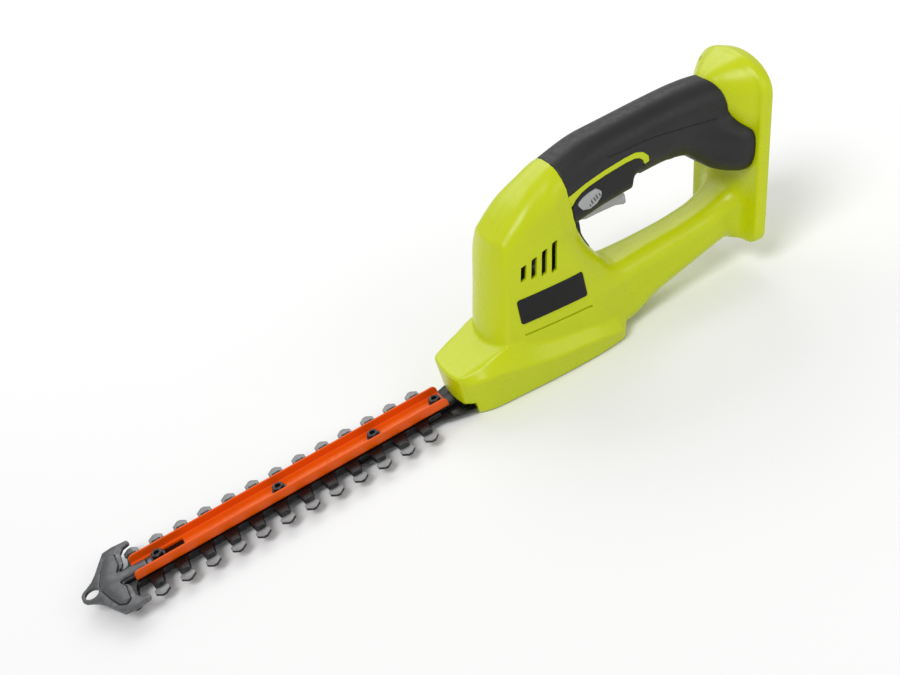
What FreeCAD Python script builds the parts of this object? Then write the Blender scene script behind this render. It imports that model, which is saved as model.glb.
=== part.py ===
"""Compact cordless hedge trimmer, modelled as an assembly of separate pieces.

Frame: millimetres, +X from the blade tip to the battery foot, +Z up, +Y the tool's right side.
The origin is on the flat bottom of the gear housing, under the crank gear's axis.
"""
import FreeCAD, Part
import Sketcher
import math
import os
import re
from FreeCAD import Vector

doc = FreeCAD.newDocument("hedge_trimmer")
sheet = doc.addObject("Spreadsheet::Sheet", "Sizes")

SIZES = {
    # cutting blades
    "pitch": 18, "teeth_per_side": 13, "first_left": -298, "first_right": -289,
    "blade_front": -304, "strip_half": 10.5, "strip_rear": -66, "tail_half": 7,
    "blade_thick": 2, "lower_blade_z": 6, "upper_blade_z": 8.1, "stroke": 9,
    "upper_tail": -26, "lower_tail": -17, "stem_root_half": 4.9, "stem_end_half": 3.5,
    "stem_end": 23.6, "paddle_half": 4.9, "paddle_start": 23, "paddle_shoulder": 27.6,
    "paddle_tip": 30.2, "slot_half": 3.8,
    # bolted spine of the blade set
    "bolt_1": -273.5, "bolt_2": -185.3, "bolt_3": -113, "bolt_4": -64.5, "bolt_shank": 2.5,
    "spacer_outer": 3.5, "bolt_flange": 5, "bolt_flange_thick": 1, "bolt_head": 4.3, "bolt_head_thick": 2.8,
    "nut_size": 4.2, "nut_thick": 2.1, "bar_z": 4.4, "bar_thick": 1.5, "bar_front": -297,
    "channel_front": -291.5, "channel_rear": -58.5, "channel_z": 10.3, "channel_sheet": 1.5,
    "channel_half": 10, "channel_top": 18, "channel_slot_end": -255, "channel_slot_half": 5.6,
    "guard_z": 10.3, "guard_thick": 2.4, "guard_boss": 1.4, "guard_tip": -327.6, "hang_hole_x": -320.7,
    "hang_hole": 4.6,
    # crank drive
    "crank_throw": 4.5, "rod_length": 27.5, "eccentric": 9, "rod_ring": 12, "rod_eye": 4.5,
    "rod_thick": 2.4, "lower_rod_z": 3.2, "upper_rod_z": 10.6, "rod_pin": 2.4, "rod_waist": 3.2,
    "gear_teeth": 42, "pinion_teeth": 12, "gear_module": 1, "gear_z": 15, "gear_thick": 8,
    "crank_shaft": 4, "bush_outer": 6.5, "running_gap": 0.06,
    "case_rear": 38.5, "case_front": -28, "case_half": 24.8, "case_foot_half": 21, "case_step": 12,
    "case_wall": 2.2, "case_top": 28, "case_low": 2.8,
    # motor
    "motor_x": 27, "motor_outer": 18, "can_wall": 1.4, "motor_low": 28, "motor_high": 84,
    "rotor_core": 12.8, "motor_shaft": 1.6, "fan_radius": 13,
    # housing
    "wall": 2.5, "grip_skin": 1.6, "cover_thick": 1.8, "cover_front": -40, "cover_rear": 66,
    "cover_half": 21, "foot_x": 184.6, "foot_z": 38.1, "foot_lean": 14.1, "foot_thick": 9.3,
    "foot_half": 38, "foot_low": -17, "foot_arch": 91, "foot_arch_rise": 24, "foot_corner": 11,
    "socket_mid": 72, "socket_half": 17.4, "socket_half_height": 20, "socket_depth": 32, "socket_wall": 2,
    "boss_outer": 3.8, "screw_shank": 1.5, "screw_head": 3.0,
    # trigger group
    "grip_front": 62, "surround_top": 117.3, "surround_half": 20.3, "surround_rear": 121,
    "trigger_x": 71, "trigger_z": 100, "trigger_half": 8.4, "pivot_pin": 2,
    "button_x": 77, "button_z": 108.2, "button_length": 19, "button_height": 9.4,
}

# cross-sections of the shells: position, then the section's own sizes
GRIP = ((50, 134.5, 100, 22, 17), (62, 139, 100, 21.5, 17), (95, 145, 101, 20, 17), (128, 145, 101, 19.5, 17),
        (157, 144.5, 99, 19.5, 17), (170, 143.5, 92, 20, 17), (182, 142, 88, 20, 17), (206, 134, 84, 20, 16))
CUFF = ((156, 113, 103, 9, 4.5), (167, 115, 89, 17.6, 11), (176, 116, 79, 23.5, 14), (185, 115, 74.5, 30, 16),
        (192, 113, 72.5, 33, 17), (209, 108, 72, 35, 17))
ARM = ((56, 54, 1.5, 27, 14), (84, 49, 1.5, 21, 12), (110, 48.5, 9, 18.5, 12), (136, 48.5, 14, 17, 11),
       (160, 50, 19, 17, 11), (176, 54, 22, 18, 11), (194, 64, 18, 25, 13))
HOOD = ((7, 109, 84, 21, 8), (30, 125, 84, 24, 13), (48, 134, 84, 24, 17), (62, 139, 84, 21.5, 17))
DOME = ((-24, 91, 99, 5, 4.5), (-19, 82, 103.5, 13.5, 11), (-12, 70, 108.5, 23, 17), (-3, 59, 113, 32, 22),
        (4, 57, 114.6, 36, 24))
SHOE = ((-48, 17, 20.5, 26, 19.5, 33), (-43, 20.5, 25, 28, 21, 34), (-30, 25, 31, 29.5, 23, 37),
        (-9, 27, 33, 26, 26, 42), (15, 29, 34, 20, 22, 38), (45, 30, 34, 16, 20, 33),
        (70, 28, 31, 10, 17, 28), (77, 23, 25, 9, 15, 24))
TOWER = ((20, -22, -14, 26, 20, 29, 62, 27.5, 74, 15), (42, -19, -10, 26, 20, 29, 60, 26.8, 72.5, 14),
         (70, -10, -2, 25.5, 25, 28.5, 58, 25, 70, 12), (93, -1.5, 4, 24, 28, 27, 56, 22.5, 68, 11),
         (109, 5.5, 8.5, 20.5, 30, 24.2, 56, 20.5, 66, 12))
TABLES = {
    "grip": (GRIP, ("place", "top", "bottom", "half", "corner")),
    "cuff": (CUFF, ("place", "top", "bottom", "half", "corner")),
    "arm": (ARM, ("place", "top", "bottom", "half", "corner")),
    "hood": (HOOD, ("place", "top", "bottom", "half", "corner")),
    "dome": (DOME, ("place", "bottom", "top", "half", "corner")),
    "shoe": (SHOE, ("place", "foot_half", "side_half", "side_height", "top_half", "top")),
    "tower": (TOWER, ("place", "front", "crease", "crease_half", "side", "side_half",
                      "shoulder", "shoulder_half", "rear", "rear_half")),
}
SCREWS = ((-37, 22), (60, 52), (52, 127), (112, 28), (176, 38), (140, 119), (202, 141))


def fill_sheet():
    """Write every size to a cell with a name of its own."""
    rows = list(SIZES.items())
    for name, (table, columns) in TABLES.items():
        for number, station in enumerate(table, 1):
            rows += [(f"{name}_{number}_{column}", value) for column, value in zip(columns, station)]
    for row, (alias, value) in enumerate(rows, 1):
        sheet.set(f"A{row}", alias)
        sheet.set(f"B{row}", str(value))
        sheet.setAlias(f"B{row}", alias)
    doc.recompute()


def size(alias):
    return float(sheet.get(alias))


def stations(name):
    """Read one shell's cross-sections back from the sheet."""
    table, columns = TABLES[name]
    return [{column: size(f"{name}_{number}_{column}") for column in columns}
            for number in range(1, len(table) + 1)]


def formula(text):
    """Turn a rule written with the sheet's names into an expression of the document."""
    return re.sub(r"[a-z][a-z_0-9]*", lambda word: "Sizes." + word.group(0), str(text))


def bind(thing, **rules):
    """Bind properties of an object to the sheet."""
    for name, rule in rules.items():
        thing.setExpression(name, formula(rule))
    return thing


def place(thing, x=0, y=0, z=0):
    """Bind an object's position to the sheet."""
    for axis, rule in zip("xyz", (x, y, z)):
        thing.setExpression(f".Placement.Base.{axis}", formula(rule))
    return thing


def add(kind, name):
    return doc.addObject(kind, name)


def finished(thing, label):
    """Name a sub-part's final object after its node."""
    thing.Label = label
    PARTS.append(thing)
    return thing


PARTS = []


# ---- Part primitives bound to the sheet ----------------------------------------------------------
def cylinder(name, radius, height, x=0, y=0, z=0):
    return place(bind(add("Part::Cylinder", name), Radius=radius, Height=height), x, y, z)


def box(name, length, width, height, x=0, y=0, z=0):
    return place(bind(add("Part::Box", name), Length=length, Width=width, Height=height), x, y, z)


def hexagon(name, radius, height, x=0, y=0, z=0):
    prism = add("Part::Prism", name)
    prism.Polygon = 6
    return place(bind(prism, Circumradius=radius, Height=height), x, y, z)


def cut(name, base, tool):
    result = add("Part::Cut", name)
    result.Base = base
    result.Tool = tool
    return result


def fuse(name, shapes):
    result = add("Part::MultiFuse", name)
    result.Shapes = shapes
    return result


def group(name, shapes):
    result = add("Part::Compound", name)
    result.Links = shapes
    return result


def ring(name, outer, inner, height, x=0, y=0, z=0):
    outside = cylinder(name + "_outside", outer, height, x, y, z)
    return cut(name, outside, cylinder(name + "_bore", inner, height, x, y, z))


# ---- PartDesign bodies with sketches bound to the sheet ------------------------------------------
def new_body(name):
    return add("PartDesign::Body", name)


def new_sketch(body, name, plane="XY", offset=0):
    sketch = body.newObject("Sketcher::SketchObject", name)
    origin = [item for item in body.Origin.OriginFeatures if item.Role == plane + "_Plane"][0]
    sketch.AttachmentSupport = [(origin, "")]
    sketch.MapMode = "FlatFace"
    sketch.setExpression(".AttachmentOffset.Base.z", formula(offset))
    return sketch


def pin_point(sketch, geometry, vertex, x, y):
    """Hold one sketch point at a place given by two rules."""
    for kind, rule, axis in (("DistanceX", x, -2), ("DistanceY", y, -1)):
        value = float(sketch.evalExpression(formula(rule)))
        if abs(value) < 1e-9:
            sketch.addConstraint(Sketcher.Constraint("PointOnObject", geometry, vertex, axis))
        else:
            index = sketch.addConstraint(Sketcher.Constraint(kind, -1, 1, geometry, vertex, value))
            sketch.setExpression(f"Constraints[{index}]", formula(rule))


def outline(sketch, corners):
    """Draw a closed polygon whose corners are pairs of rules."""
    points = []
    for x, y in corners:
        points.append(Vector(*[float(sketch.evalExpression(formula(rule))) for rule in (x, y)], 0))
    first = sketch.GeometryCount
    count = len(points)
    for number, point in enumerate(points):
        sketch.addGeometry(Part.LineSegment(point, points[(number + 1) % count]), False)
    for number in range(count):
        following = first + (number + 1) % count
        sketch.addConstraint(Sketcher.Constraint("Coincident", first + number, 2, following, 1))
    for number, (x, y) in enumerate(corners):
        pin_point(sketch, first + number, 1, x, y)


def circle(sketch, x, y, radius):
    """Draw a circle whose centre and radius are rules."""
    centre = Vector(*[float(sketch.evalExpression(formula(rule))) for rule in (x, y)], 0)
    value = float(sketch.evalExpression(formula(radius)))
    geometry = sketch.addGeometry(Part.Circle(centre, Vector(0, 0, 1), value), False)
    pin_point(sketch, geometry, 3, x, y)
    index = sketch.addConstraint(Sketcher.Constraint("Radius", geometry, value))
    sketch.setExpression(f"Constraints[{index}]", formula(radius))


def rectangle(sketch, left, right, low, high):
    outline(sketch, ((left, low), (right, low), (right, high), (left, high)))


def pad(body, sketch, length, midplane=False):
    feature = body.newObject("PartDesign::Pad", sketch.Name + "_pad")
    feature.Profile = sketch
    feature.Midplane = midplane
    feature.setExpression("Length", formula(length))
    doc.recompute()
    return feature


def pocket(body, sketch):
    """Cut a sketch right through the body, both ways."""
    before = body.Shape.Volume
    feature = body.newObject("PartDesign::Pocket", sketch.Name + "_pocket")
    feature.Profile = sketch
    feature.Type = 1
    feature.Midplane = True
    doc.recompute()
    if body.Shape.Volume > before - 0.01:
        raise RuntimeError(sketch.Name + " cuts nothing")
    return feature


def row_of(body, feature, sketch, step, count):
    """Repeat a feature along the sketch's horizontal axis."""
    pattern = body.newObject("PartDesign::LinearPattern", feature.Name + "_row")
    pattern.Originals = [feature]
    pattern.Direction = (sketch, ["H_Axis"])
    pattern.setExpression("Length", formula(f"{step} * ({count} - 1)"))
    pattern.setExpression("Occurrences", formula(count))
    body.Tip = pattern
    doc.recompute()
    return pattern


# ---- plain shapes from the sheet's numbers, for the moulded shells and the gears -----------------
def solid(name, shape):
    """Hold a shape that neither a body nor a primitive fits."""
    feature = add("Part::Feature", name)
    feature.Shape = shape
    return feature


def rounded_wire(low, high, half, corner, at):
    """A rounded rectangle; at(across, up) gives the place of a point of its plane."""
    corner = min(corner, half - 0.2, (high - low) / 2 - 0.2)
    bend = corner * (1 - math.sqrt(0.5))
    corners = {}
    for side, up in ((1, 1), (-1, 1), (-1, -1), (1, -1)):
        y = side * half
        z = high if up > 0 else low
        vertical = at(y, z - up * corner)
        level = at(y - side * corner, z)
        middle = at(y - side * bend, z - up * bend)
        corners[(side, up)] = (vertical, middle, level)
    right_top, left_top = corners[(1, 1)], corners[(-1, 1)]
    left_low, right_low = corners[(-1, -1)], corners[(1, -1)]
    parts = [Part.Arc(*right_top), Part.LineSegment(right_top[2], left_top[2]), Part.Arc(*left_top[::-1]),
             Part.LineSegment(left_top[0], left_low[0]), Part.Arc(*left_low),
             Part.LineSegment(left_low[2], right_low[2]), Part.Arc(*right_low[::-1]),
             Part.LineSegment(right_low[0], right_top[0])]
    return Part.Wire([part.toShape() for part in parts])


def loft(wires, ruled=False):
    shape = Part.makeLoft(wires, True, ruled)
    if shape.Volume < 0:
        shape.reverse()
    return shape


def along_x(name, inset=0.0, ends=0.0):
    """A shell lofted through rounded sections across the X axis."""
    wires = []
    rows = stations(name)
    for number, row in enumerate(rows):
        shift = ends * ((number == 0) - (number == len(rows) - 1))
        x = row["place"] + shift
        wires.append(rounded_wire(row["bottom"] + inset, row["top"] - inset, row["half"] - inset,
                                  row["corner"] - inset, lambda y, z, x=x: Vector(x, y, z)))
    return loft(wires)


def foot_point(across, up, out):
    """A point in the battery foot's own frame: across, up its face and out of its back."""
    lean = math.radians(size("foot_lean"))
    x = size("foot_x") + up * math.sin(lean) + out * math.cos(lean)
    z = size("foot_z") + up * math.cos(lean) - out * math.sin(lean)
    return Vector(x, across, z)


def foot_box(half, low, high, near, far):
    """A block in the battery foot's frame."""
    corners = [foot_point(y, u, near) for y, u in ((-half, low), (half, low), (half, high), (-half, high))]
    face = Part.Face(Part.makePolygon(corners + corners[:1]))
    return face.extrude(foot_point(0, 0, far) - foot_point(0, 0, near))


def dome(inset):
    wires = []
    for row in stations("dome"):
        out = row["place"] + inset * 0.8
        wires.append(rounded_wire(row["bottom"] + inset, row["top"] - inset, row["half"] - inset,
                                  row["corner"] - inset, lambda y, u, out=out: foot_point(y, u, out)))
    return loft(wires)


def foot(inset):
    """The battery foot: straight sides, small lower corners and an arched top."""
    half = size("foot_half") - inset
    low = size("foot_low") + inset
    arch = size("foot_arch")
    rise = size("foot_arch_rise") - inset
    corner = size("foot_corner") - inset
    bend = corner * (1 - math.sqrt(0.5))
    near = inset
    far = size("foot_thick") - inset

    def at(y, u):
        return foot_point(y, u, near)

    def arch_point(angle):
        return at(half * math.cos(angle), arch + rise * math.sin(angle))

    crown = Part.BSplineCurve()
    crown.interpolate([arch_point(math.pi * step / 8) for step in range(9)])
    lines = [crown,
             Part.LineSegment(at(-half, arch), at(-half, low + corner)),
             Part.Arc(at(-half, low + corner), at(-half + bend, low + bend), at(-half + corner, low)),
             Part.LineSegment(at(-half + corner, low), at(half - corner, low)),
             Part.Arc(at(half - corner, low), at(half - bend, low + bend), at(half, low + corner)),
             Part.LineSegment(at(half, low + corner), at(half, arch))]
    face = Part.Face(Part.Wire([line.toShape() for line in lines]))
    return face.extrude(foot_point(0, 0, far) - foot_point(0, 0, near))


def shoe(inset):
    """The gear housing: flat bottom, upright flanks and sloping shoulders."""
    wires = []
    rows = stations("shoe")
    for number, row in enumerate(rows):
        x = row["place"] + inset * ((number == 0) - (number == len(rows) - 1))
        half = [(row["foot_half"] - inset, inset),
                (row["side_half"] - inset, row["side_height"] - inset * 0.4),
                (row["top_half"] - inset * 0.6, row["top"] - inset)]
        points = [Vector(x, y, z) for y, z in half] + [Vector(x, -y, z) for y, z in reversed(half)]
        wires.append(Part.makePolygon(points + points[:1]))
    return loft(wires, ruled=True)


def tower(inset):
    """The motor housing: level sections with a bowed front between two creases."""
    wires = []
    rows = stations("tower")
    for number, row in enumerate(rows):
        z = row["place"] + inset * ((number == 0) - (number == len(rows) - 1))
        half = [(row["crease"] + inset, row["crease_half"] - inset * 0.7),
                (row["side"], row["side_half"] - inset),
                (row["shoulder"] - inset * 0.4, row["shoulder_half"] - inset),
                (row["rear"] - inset, row["rear_half"] - inset * 0.6)]
        points = [Vector(row["front"] + inset, 0, z)]
        points += [Vector(x, y, z) for x, y in half] + [Vector(x, -y, z) for x, y in reversed(half)]
        wires.append(Part.makePolygon(points + points[:1]))
    return loft(wires, ruled=True)


def united(shapes):
    return shapes[0].multiFuse(shapes[1:]).removeSplitter()


def behind_foot(out):
    """Everything behind a plane parallel to the battery foot."""
    return foot_box(80, -90, 190, out, out + 90)


def slab(x_low, x_high, half, z_low, z_high):
    return Part.makeBox(x_high - x_low, 2 * half, z_high - z_low, Vector(x_low, -half, z_low))


def prism_y(points, half):
    """A side outline, pairs of x and z, made into a block across the tool."""
    face = Part.Face(Part.makePolygon([Vector(x, -half, z) for x, z in points + points[:1]]))
    return face.extrude(Vector(0, 2 * half, 0))


def bar_y(x, z, radius, y_low, y_high):
    return Part.makeCylinder(radius, y_high - y_low, Vector(x, y_low, z), Vector(0, 1, 0))


def gear_face(teeth, module, turn):
    """A spur gear's outline with straight-sided slim teeth, so a pair runs with backlash."""
    pitch_radius = teeth * module / 2
    tip, root = pitch_radius + 0.85 * module, pitch_radius - 1.15 * module
    step = 2 * math.pi / teeth
    points = []
    for tooth in range(teeth):
        middle = turn + tooth * step
        for radius, share in ((root, -0.31), (tip, -0.11), (tip, 0.11), (root, 0.31)):
            angle = middle + share * step
            points.append(Vector(radius * math.cos(angle), radius * math.sin(angle), 0))
    return Part.Face(Part.makePolygon(points + points[:1]))


def tube_along(points, radius, bend):
    """A round lead along straight runs joined by tangent arcs."""
    edges = []
    start = points[0]
    for corner, following in zip(points[1:-1], points[2:]):
        back = (start - corner).normalize()
        ahead = (following - corner).normalize()
        half_turn = back.getAngle(ahead) / 2
        reach = bend / math.tan(half_turn)
        entry, leave = corner + back * reach, corner + ahead * reach
        middle = corner + (back + ahead).normalize() * (bend / math.sin(half_turn) - bend)
        edges += [Part.LineSegment(start, entry).toShape(), Part.Arc(entry, middle, leave).toShape()]
        start = leave
    edges.append(Part.LineSegment(start, points[-1]).toShape())
    section = Part.Wire(Part.Circle(points[0], points[1] - points[0], radius).toShape())
    return Part.Wire(edges).makePipeShell([section], True, False)


def coil(radius, wire, low, high, turns, x, y):
    """An open compression spring standing along Z."""
    helix = Part.makeHelix((high - low - 2 * wire) / turns, high - low - 2 * wire, radius)
    section = Part.Wire(Part.Circle(Vector(radius, 0, 0), Vector(0, 1, 0), wire).toShape())
    spring = Part.Wire(helix.Edges).makePipeShell([section], True, True)
    spring.translate(Vector(x, y, low + wire))
    return spring


# ---- cutting blades ------------------------------------------------------------------------------
def blade(name, low, tail, tail_hole, back, ahead, paddles):
    """A toothed strip with a slot over each bolt; back and ahead are how far the slots reach."""
    body = new_body(name)
    strip = new_sketch(body, name + "_strip", offset=low)
    outline(strip, (("blade_front", "-strip_half"), ("strip_rear", "-strip_half"),
                    ("strip_rear", "-tail_half"), (tail, "-tail_half"), (tail, "tail_half"),
                    ("strip_rear", "tail_half"), ("strip_rear", "strip_half"), ("blade_front", "strip_half")))
    pad(body, strip, "blade_thick")
    for side, first in (("-", "first_left"), ("", "first_right")):
        tooth = new_sketch(body, name + "_tooth_" + first, offset=low)
        left = [(f"{first} - stem_root_half", f"{side}(strip_half - 1)"),
                (f"{first} - stem_end_half", f"{side}paddle_start" if paddles else f"{side}stem_end")]
        if paddles:
            left += [(f"{first} - paddle_half", f"{side}(paddle_start + 1.4)"),
                     (f"{first} - paddle_half", f"{side}paddle_shoulder"),
                     (f"{first} - paddle_half / 2.4", f"{side}paddle_tip")]
        right = [(x.replace(" - ", " + "), y) for x, y in reversed(left)]
        outline(tooth, left + right)
        feature = pad(body, tooth, "blade_thick")
        row_of(body, feature, tooth, "pitch", "teeth_per_side")
    holes = new_sketch(body, name + "_slots", offset=low)
    for bolt in ("bolt_1", "bolt_2", "bolt_3", "bolt_4"):
        rectangle(holes, f"{bolt} - slot_half - {back}", f"{bolt} + slot_half + {ahead}",
                  "-slot_half", "slot_half")
    circle(holes, tail_hole, 0, "rod_pin + 0.1")
    pocket(body, holes)
    return finished(body, name)


def blades():
    blade("upper_blade", "upper_blade_z", "upper_tail", "-crank_throw - rod_length", "stroke", "0", False)
    blade("lower_blade", "lower_blade_z", "lower_tail", "crank_throw - rod_length", "0", "stroke", True)


def support_bar():
    """The black bar under the blades, which widens into the bracket at the gear housing."""
    body = new_body("support_bar")
    sketch = new_sketch(body, "bar_outline", offset="bar_z")
    left = [("bar_front", "-9.5"), ("-133", "-strip_half"), ("-129", "-13.4"), ("-121", "-13.4"),
            ("-117", "-strip_half"), ("-84", "-strip_half"), ("-78.4", "-11.8"), ("-68.6", "-12.8"),
            ("-55.6", "-17.8"), ("-46.5", "-20.6"), ("-43.3", "-21.2"), ("-43.3", "-18.4"), ("-32", "-18.4"),
            ("-32", "-11"), ("-49", "-11")]
    right = [(x, y[1:]) for x, y in reversed(left)]
    outline(sketch, left + right)
    pad(body, sketch, "bar_thick")
    holes = new_sketch(body, "bar_holes", offset="bar_z")
    for bolt in ("bolt_1", "bolt_2", "bolt_3", "bolt_4"):
        circle(holes, bolt, 0, "bolt_shank + 0.1")
    for side in ("-14.7", "14.7"):
        circle(holes, "-36.5", side, 2.1)
    pocket(body, holes)
    finished(body, "support_bar")


def blade_channel():
    """The orange U-section over the blades, open at the front for the guard's tongue."""
    body = new_body("blade_channel")
    section = new_sketch(body, "channel_section", plane="YZ", offset="channel_front")
    outline(section, (("-channel_half", "channel_z"), ("channel_half", "channel_z"),
                      ("channel_half - 0.4", "channel_top"),
                      ("channel_half - channel_sheet - 0.4", "channel_top"),
                      ("channel_half - channel_sheet", "channel_z + channel_sheet"),
                      ("-channel_half + channel_sheet", "channel_z + channel_sheet"),
                      ("-channel_half + channel_sheet + 0.4", "channel_top"),
                      ("-channel_half + 0.4", "channel_top")))
    pad(body, section, "channel_rear - channel_front")
    holes = new_sketch(body, "channel_holes", offset="channel_z")
    rectangle(holes, "channel_front - 1", "channel_slot_end", "-channel_slot_half", "channel_slot_half")
    for bolt in ("bolt_2", "bolt_3", "bolt_4"):
        circle(holes, bolt, 0, "bolt_shank + 0.1")
    pocket(body, holes)
    finished(body, "blade_channel")


def tip_guard():
    """The blunt guard over the blade tips, with its hanging loop and raised anchor-shaped rib."""
    body = new_body("tip_guard")
    plate = new_sketch(body, "guard_outline", offset="guard_z")
    left = [("guard_tip", "-2.6"), ("guard_tip + 1.7", "-5.6"), ("guard_tip + 5", "-8"), ("-319", "-11"),
            ("-315.5", "-16"), ("-311", "-24.5"), ("-306", "-33.5"), ("-299", "-34.5"), ("-288", "-33.2"),
            ("-287.2", "-29"), ("-292.5", "-27.5"), ("-295.4", "-23"), ("-296", "-13"), ("-297.5", "-9.5"),
            ("-300.5", "-7.4"), ("-298.5", "-5.2"), ("-268.5", "-5.2")]
    outline(plate, left + [(x, y[1:]) for x, y in reversed(left)])
    pad(body, plate, "guard_thick")
    rib = new_sketch(body, "guard_rib", offset="guard_z + guard_thick")
    left = [("-314", "-3"), ("-310.5", "-15"), ("-306.5", "-24.6"), ("-302.5", "-27"), ("-299.2", "-24.5"),
            ("-299", "-12"), ("-302", "-5"), ("-298", "-4"), ("-282", "-4")]
    outline(rib, left + [(x, y[1:]) for x, y in reversed(left)])
    pad(body, rib, "guard_boss")
    holes = new_sketch(body, "guard_holes", offset="guard_z")
    circle(holes, "hang_hole_x", 0, "hang_hole")
    circle(holes, "bolt_1", 0, "bolt_shank + 0.1")
    pocket(body, holes)
    finished(body, "tip_guard")


def blade_fasteners():
    """Four shouldered bolts with their spacers and nuts."""
    bolts, spacers, nuts = [], [], []
    for number in (1, 2, 3, 4):
        spot = f"bolt_{number}"
        seat = "guard_z + guard_thick" if number == 1 else "channel_z + channel_sheet"
        low = "bar_z - nut_thick - 0.1"
        shank = cylinder(f"bolt_shank_{number}", "bolt_shank", f"{seat} - ({low})", spot, 0, low)
        flange = cylinder(f"bolt_flange_{number}", "bolt_flange", "bolt_flange_thick", spot, 0, seat)
        head = hexagon(f"bolt_head_{number}", "bolt_head", "bolt_head_thick", spot, 0,
                       f"{seat} + bolt_flange_thick")
        bolts.append(fuse(f"bolt_{number}_whole", [shank, flange, head]))
        bar_top = "bar_z + bar_thick"
        spacers.append(ring(f"spacer_{number}", "spacer_outer", "bolt_shank + 0.1",
                            f"channel_z - ({bar_top})", spot, 0, bar_top))
        blank = hexagon(f"nut_blank_{number}", "nut_size", "nut_thick", spot, 0, "bar_z - nut_thick")
        bore = cylinder(f"nut_bore_{number}", "bolt_shank + 0.05", "nut_thick", spot, 0, "bar_z - nut_thick")
        nuts.append(cut(f"nut_{number}", blank, bore))
    finished(group("bolt_group", bolts), "blade_bolts")
    finished(group("spacer_group", spacers), "blade_spacers")
    finished(group("nut_group", nuts), "blade_nuts")


# ---- crank drive ---------------------------------------------------------------------------------
def case_block(name, inset):
    """A block narrow below and wide round the gear; an inset one is the room inside it."""
    body = new_body(name)
    sketch = new_sketch(body, name + "_section", plane="YZ", offset=f"case_front + {inset}")
    low = f"case_low - {inset}"
    right = [(f"case_foot_half - {inset}", low), (f"case_foot_half - {inset}", f"case_step + {inset}"),
             (f"case_half - {inset}", f"case_step + {inset}"), (f"case_half - {inset}", "case_top - 4.6"),
             (f"case_half - 3.4 - {inset}", f"case_top - {inset}")]
    outline(sketch, right + [("-(" + y + ")", z) for y, z in reversed(right)])
    pad(body, sketch, f"case_rear - case_front - 2 * ({inset})")
    return body


def gear_case():
    """The die-cast cover over the crank gear, open below, with posts, lugs and a bearing boss."""
    height = "case_top - case_low"
    outside = case_block("case_outside", "0")
    boss = cylinder("case_boss", 8.2, 3, 0, 0, "case_top")
    lugs = [box(f"case_lug_{side}", 10.5, 7, 6, "case_front - 10.4", low, "bar_z + bar_thick")
            for side, low in (("left", -18.4), ("right", 11.4))]
    inside = case_block("case_inside", "case_wall")
    mouth = box("case_mouth", "case_wall + 0.4", 34.4, 12, "case_front - 0.2", -17.2, "case_low - 0.2")
    bearing = cylinder("case_bearing_bore", "bush_outer", 12, 0, 0, "case_top - case_wall - 0.1")
    motor_bore = cylinder("case_motor_bore", 7.5, 8, "motor_x", 0, "case_top - 4")
    shell = cut("case_shell", fuse("case_solid", [outside, boss] + lugs), fuse("case_room", [inside, mouth]))
    posts = [cylinder(f"case_post_{number}", 3.2, height, x, y, "case_low")
             for number, (x, y) in enumerate(CASE_POSTS)]
    drills = [cylinder(f"case_drill_{number}", "screw_shank + 0.05", 11, x, y, "case_low")
              for number, (x, y) in enumerate(CASE_POSTS)]
    drills += [cylinder(f"lug_drill_{side}", 2.05, 5, -36.5, side, "bar_z + bar_thick")
               for side in (-14.7, 14.7)]
    whole = fuse("case_with_posts", [shell] + posts)
    finished(cut("case_drilled", whole, fuse("case_bores", [bearing, motor_bore] + drills)), "gear_case")


CASE_POSTS = ((-23.5, -17.2), (-23.5, 17.2), (34, -17.2), (34, 17.2))
COVER_POSTS = ((58, -15), (58, 15))


def crank():
    """The crank gear with its shaft, eccentrics and the two bushes that carry it."""
    face = gear_face(int(size("gear_teeth")), size("gear_module"), 0)
    bore = size("crank_shaft") + 0.02
    blank = face.extrude(Vector(0, 0, size("gear_thick")))
    wheel = blank.cut(Part.makeCylinder(bore, size("gear_thick")))
    for spoke in range(5):
        angle = 2 * math.pi * (spoke + 0.5) / 5
        spot = Vector(13 * math.cos(angle), 13 * math.sin(angle), 0)
        wheel = wheel.cut(Part.makeCylinder(4.2, size("gear_thick"), spot))
    gear = solid("crank_gear_solid", wheel)
    place(gear, 0, 0, "gear_z")
    finished(gear, "crank_gear")
    finished(cylinder("crank_shaft_bar", "crank_shaft", 28.5, 0, 0, "cover_thick + 0.2"), "crank_shaft")
    for label, throw, low in (("upper_eccentric", "-crank_throw", "upper_rod_z"),
                              ("lower_eccentric", "crank_throw", "lower_rod_z")):
        disc = cylinder(label + "_disc", "eccentric", "rod_thick", throw, 0, low)
        hub = cylinder(label + "_hub", "crank_shaft + 0.02", "rod_thick", 0, 0, low)
        finished(cut(label + "_cut", disc, hub), label)
    bore = "crank_shaft + running_gap"
    top_bush = ring("top_bush", "bush_outer - 0.02", bore, 5.4, 0, 0, "case_top - case_wall")
    finished(top_bush, "upper_crank_bush")
    finished(ring("low_bush", "bush_outer - 0.02", bore, 1.1, 0, 0, "cover_thick + 0.1"), "lower_crank_bush")


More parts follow.
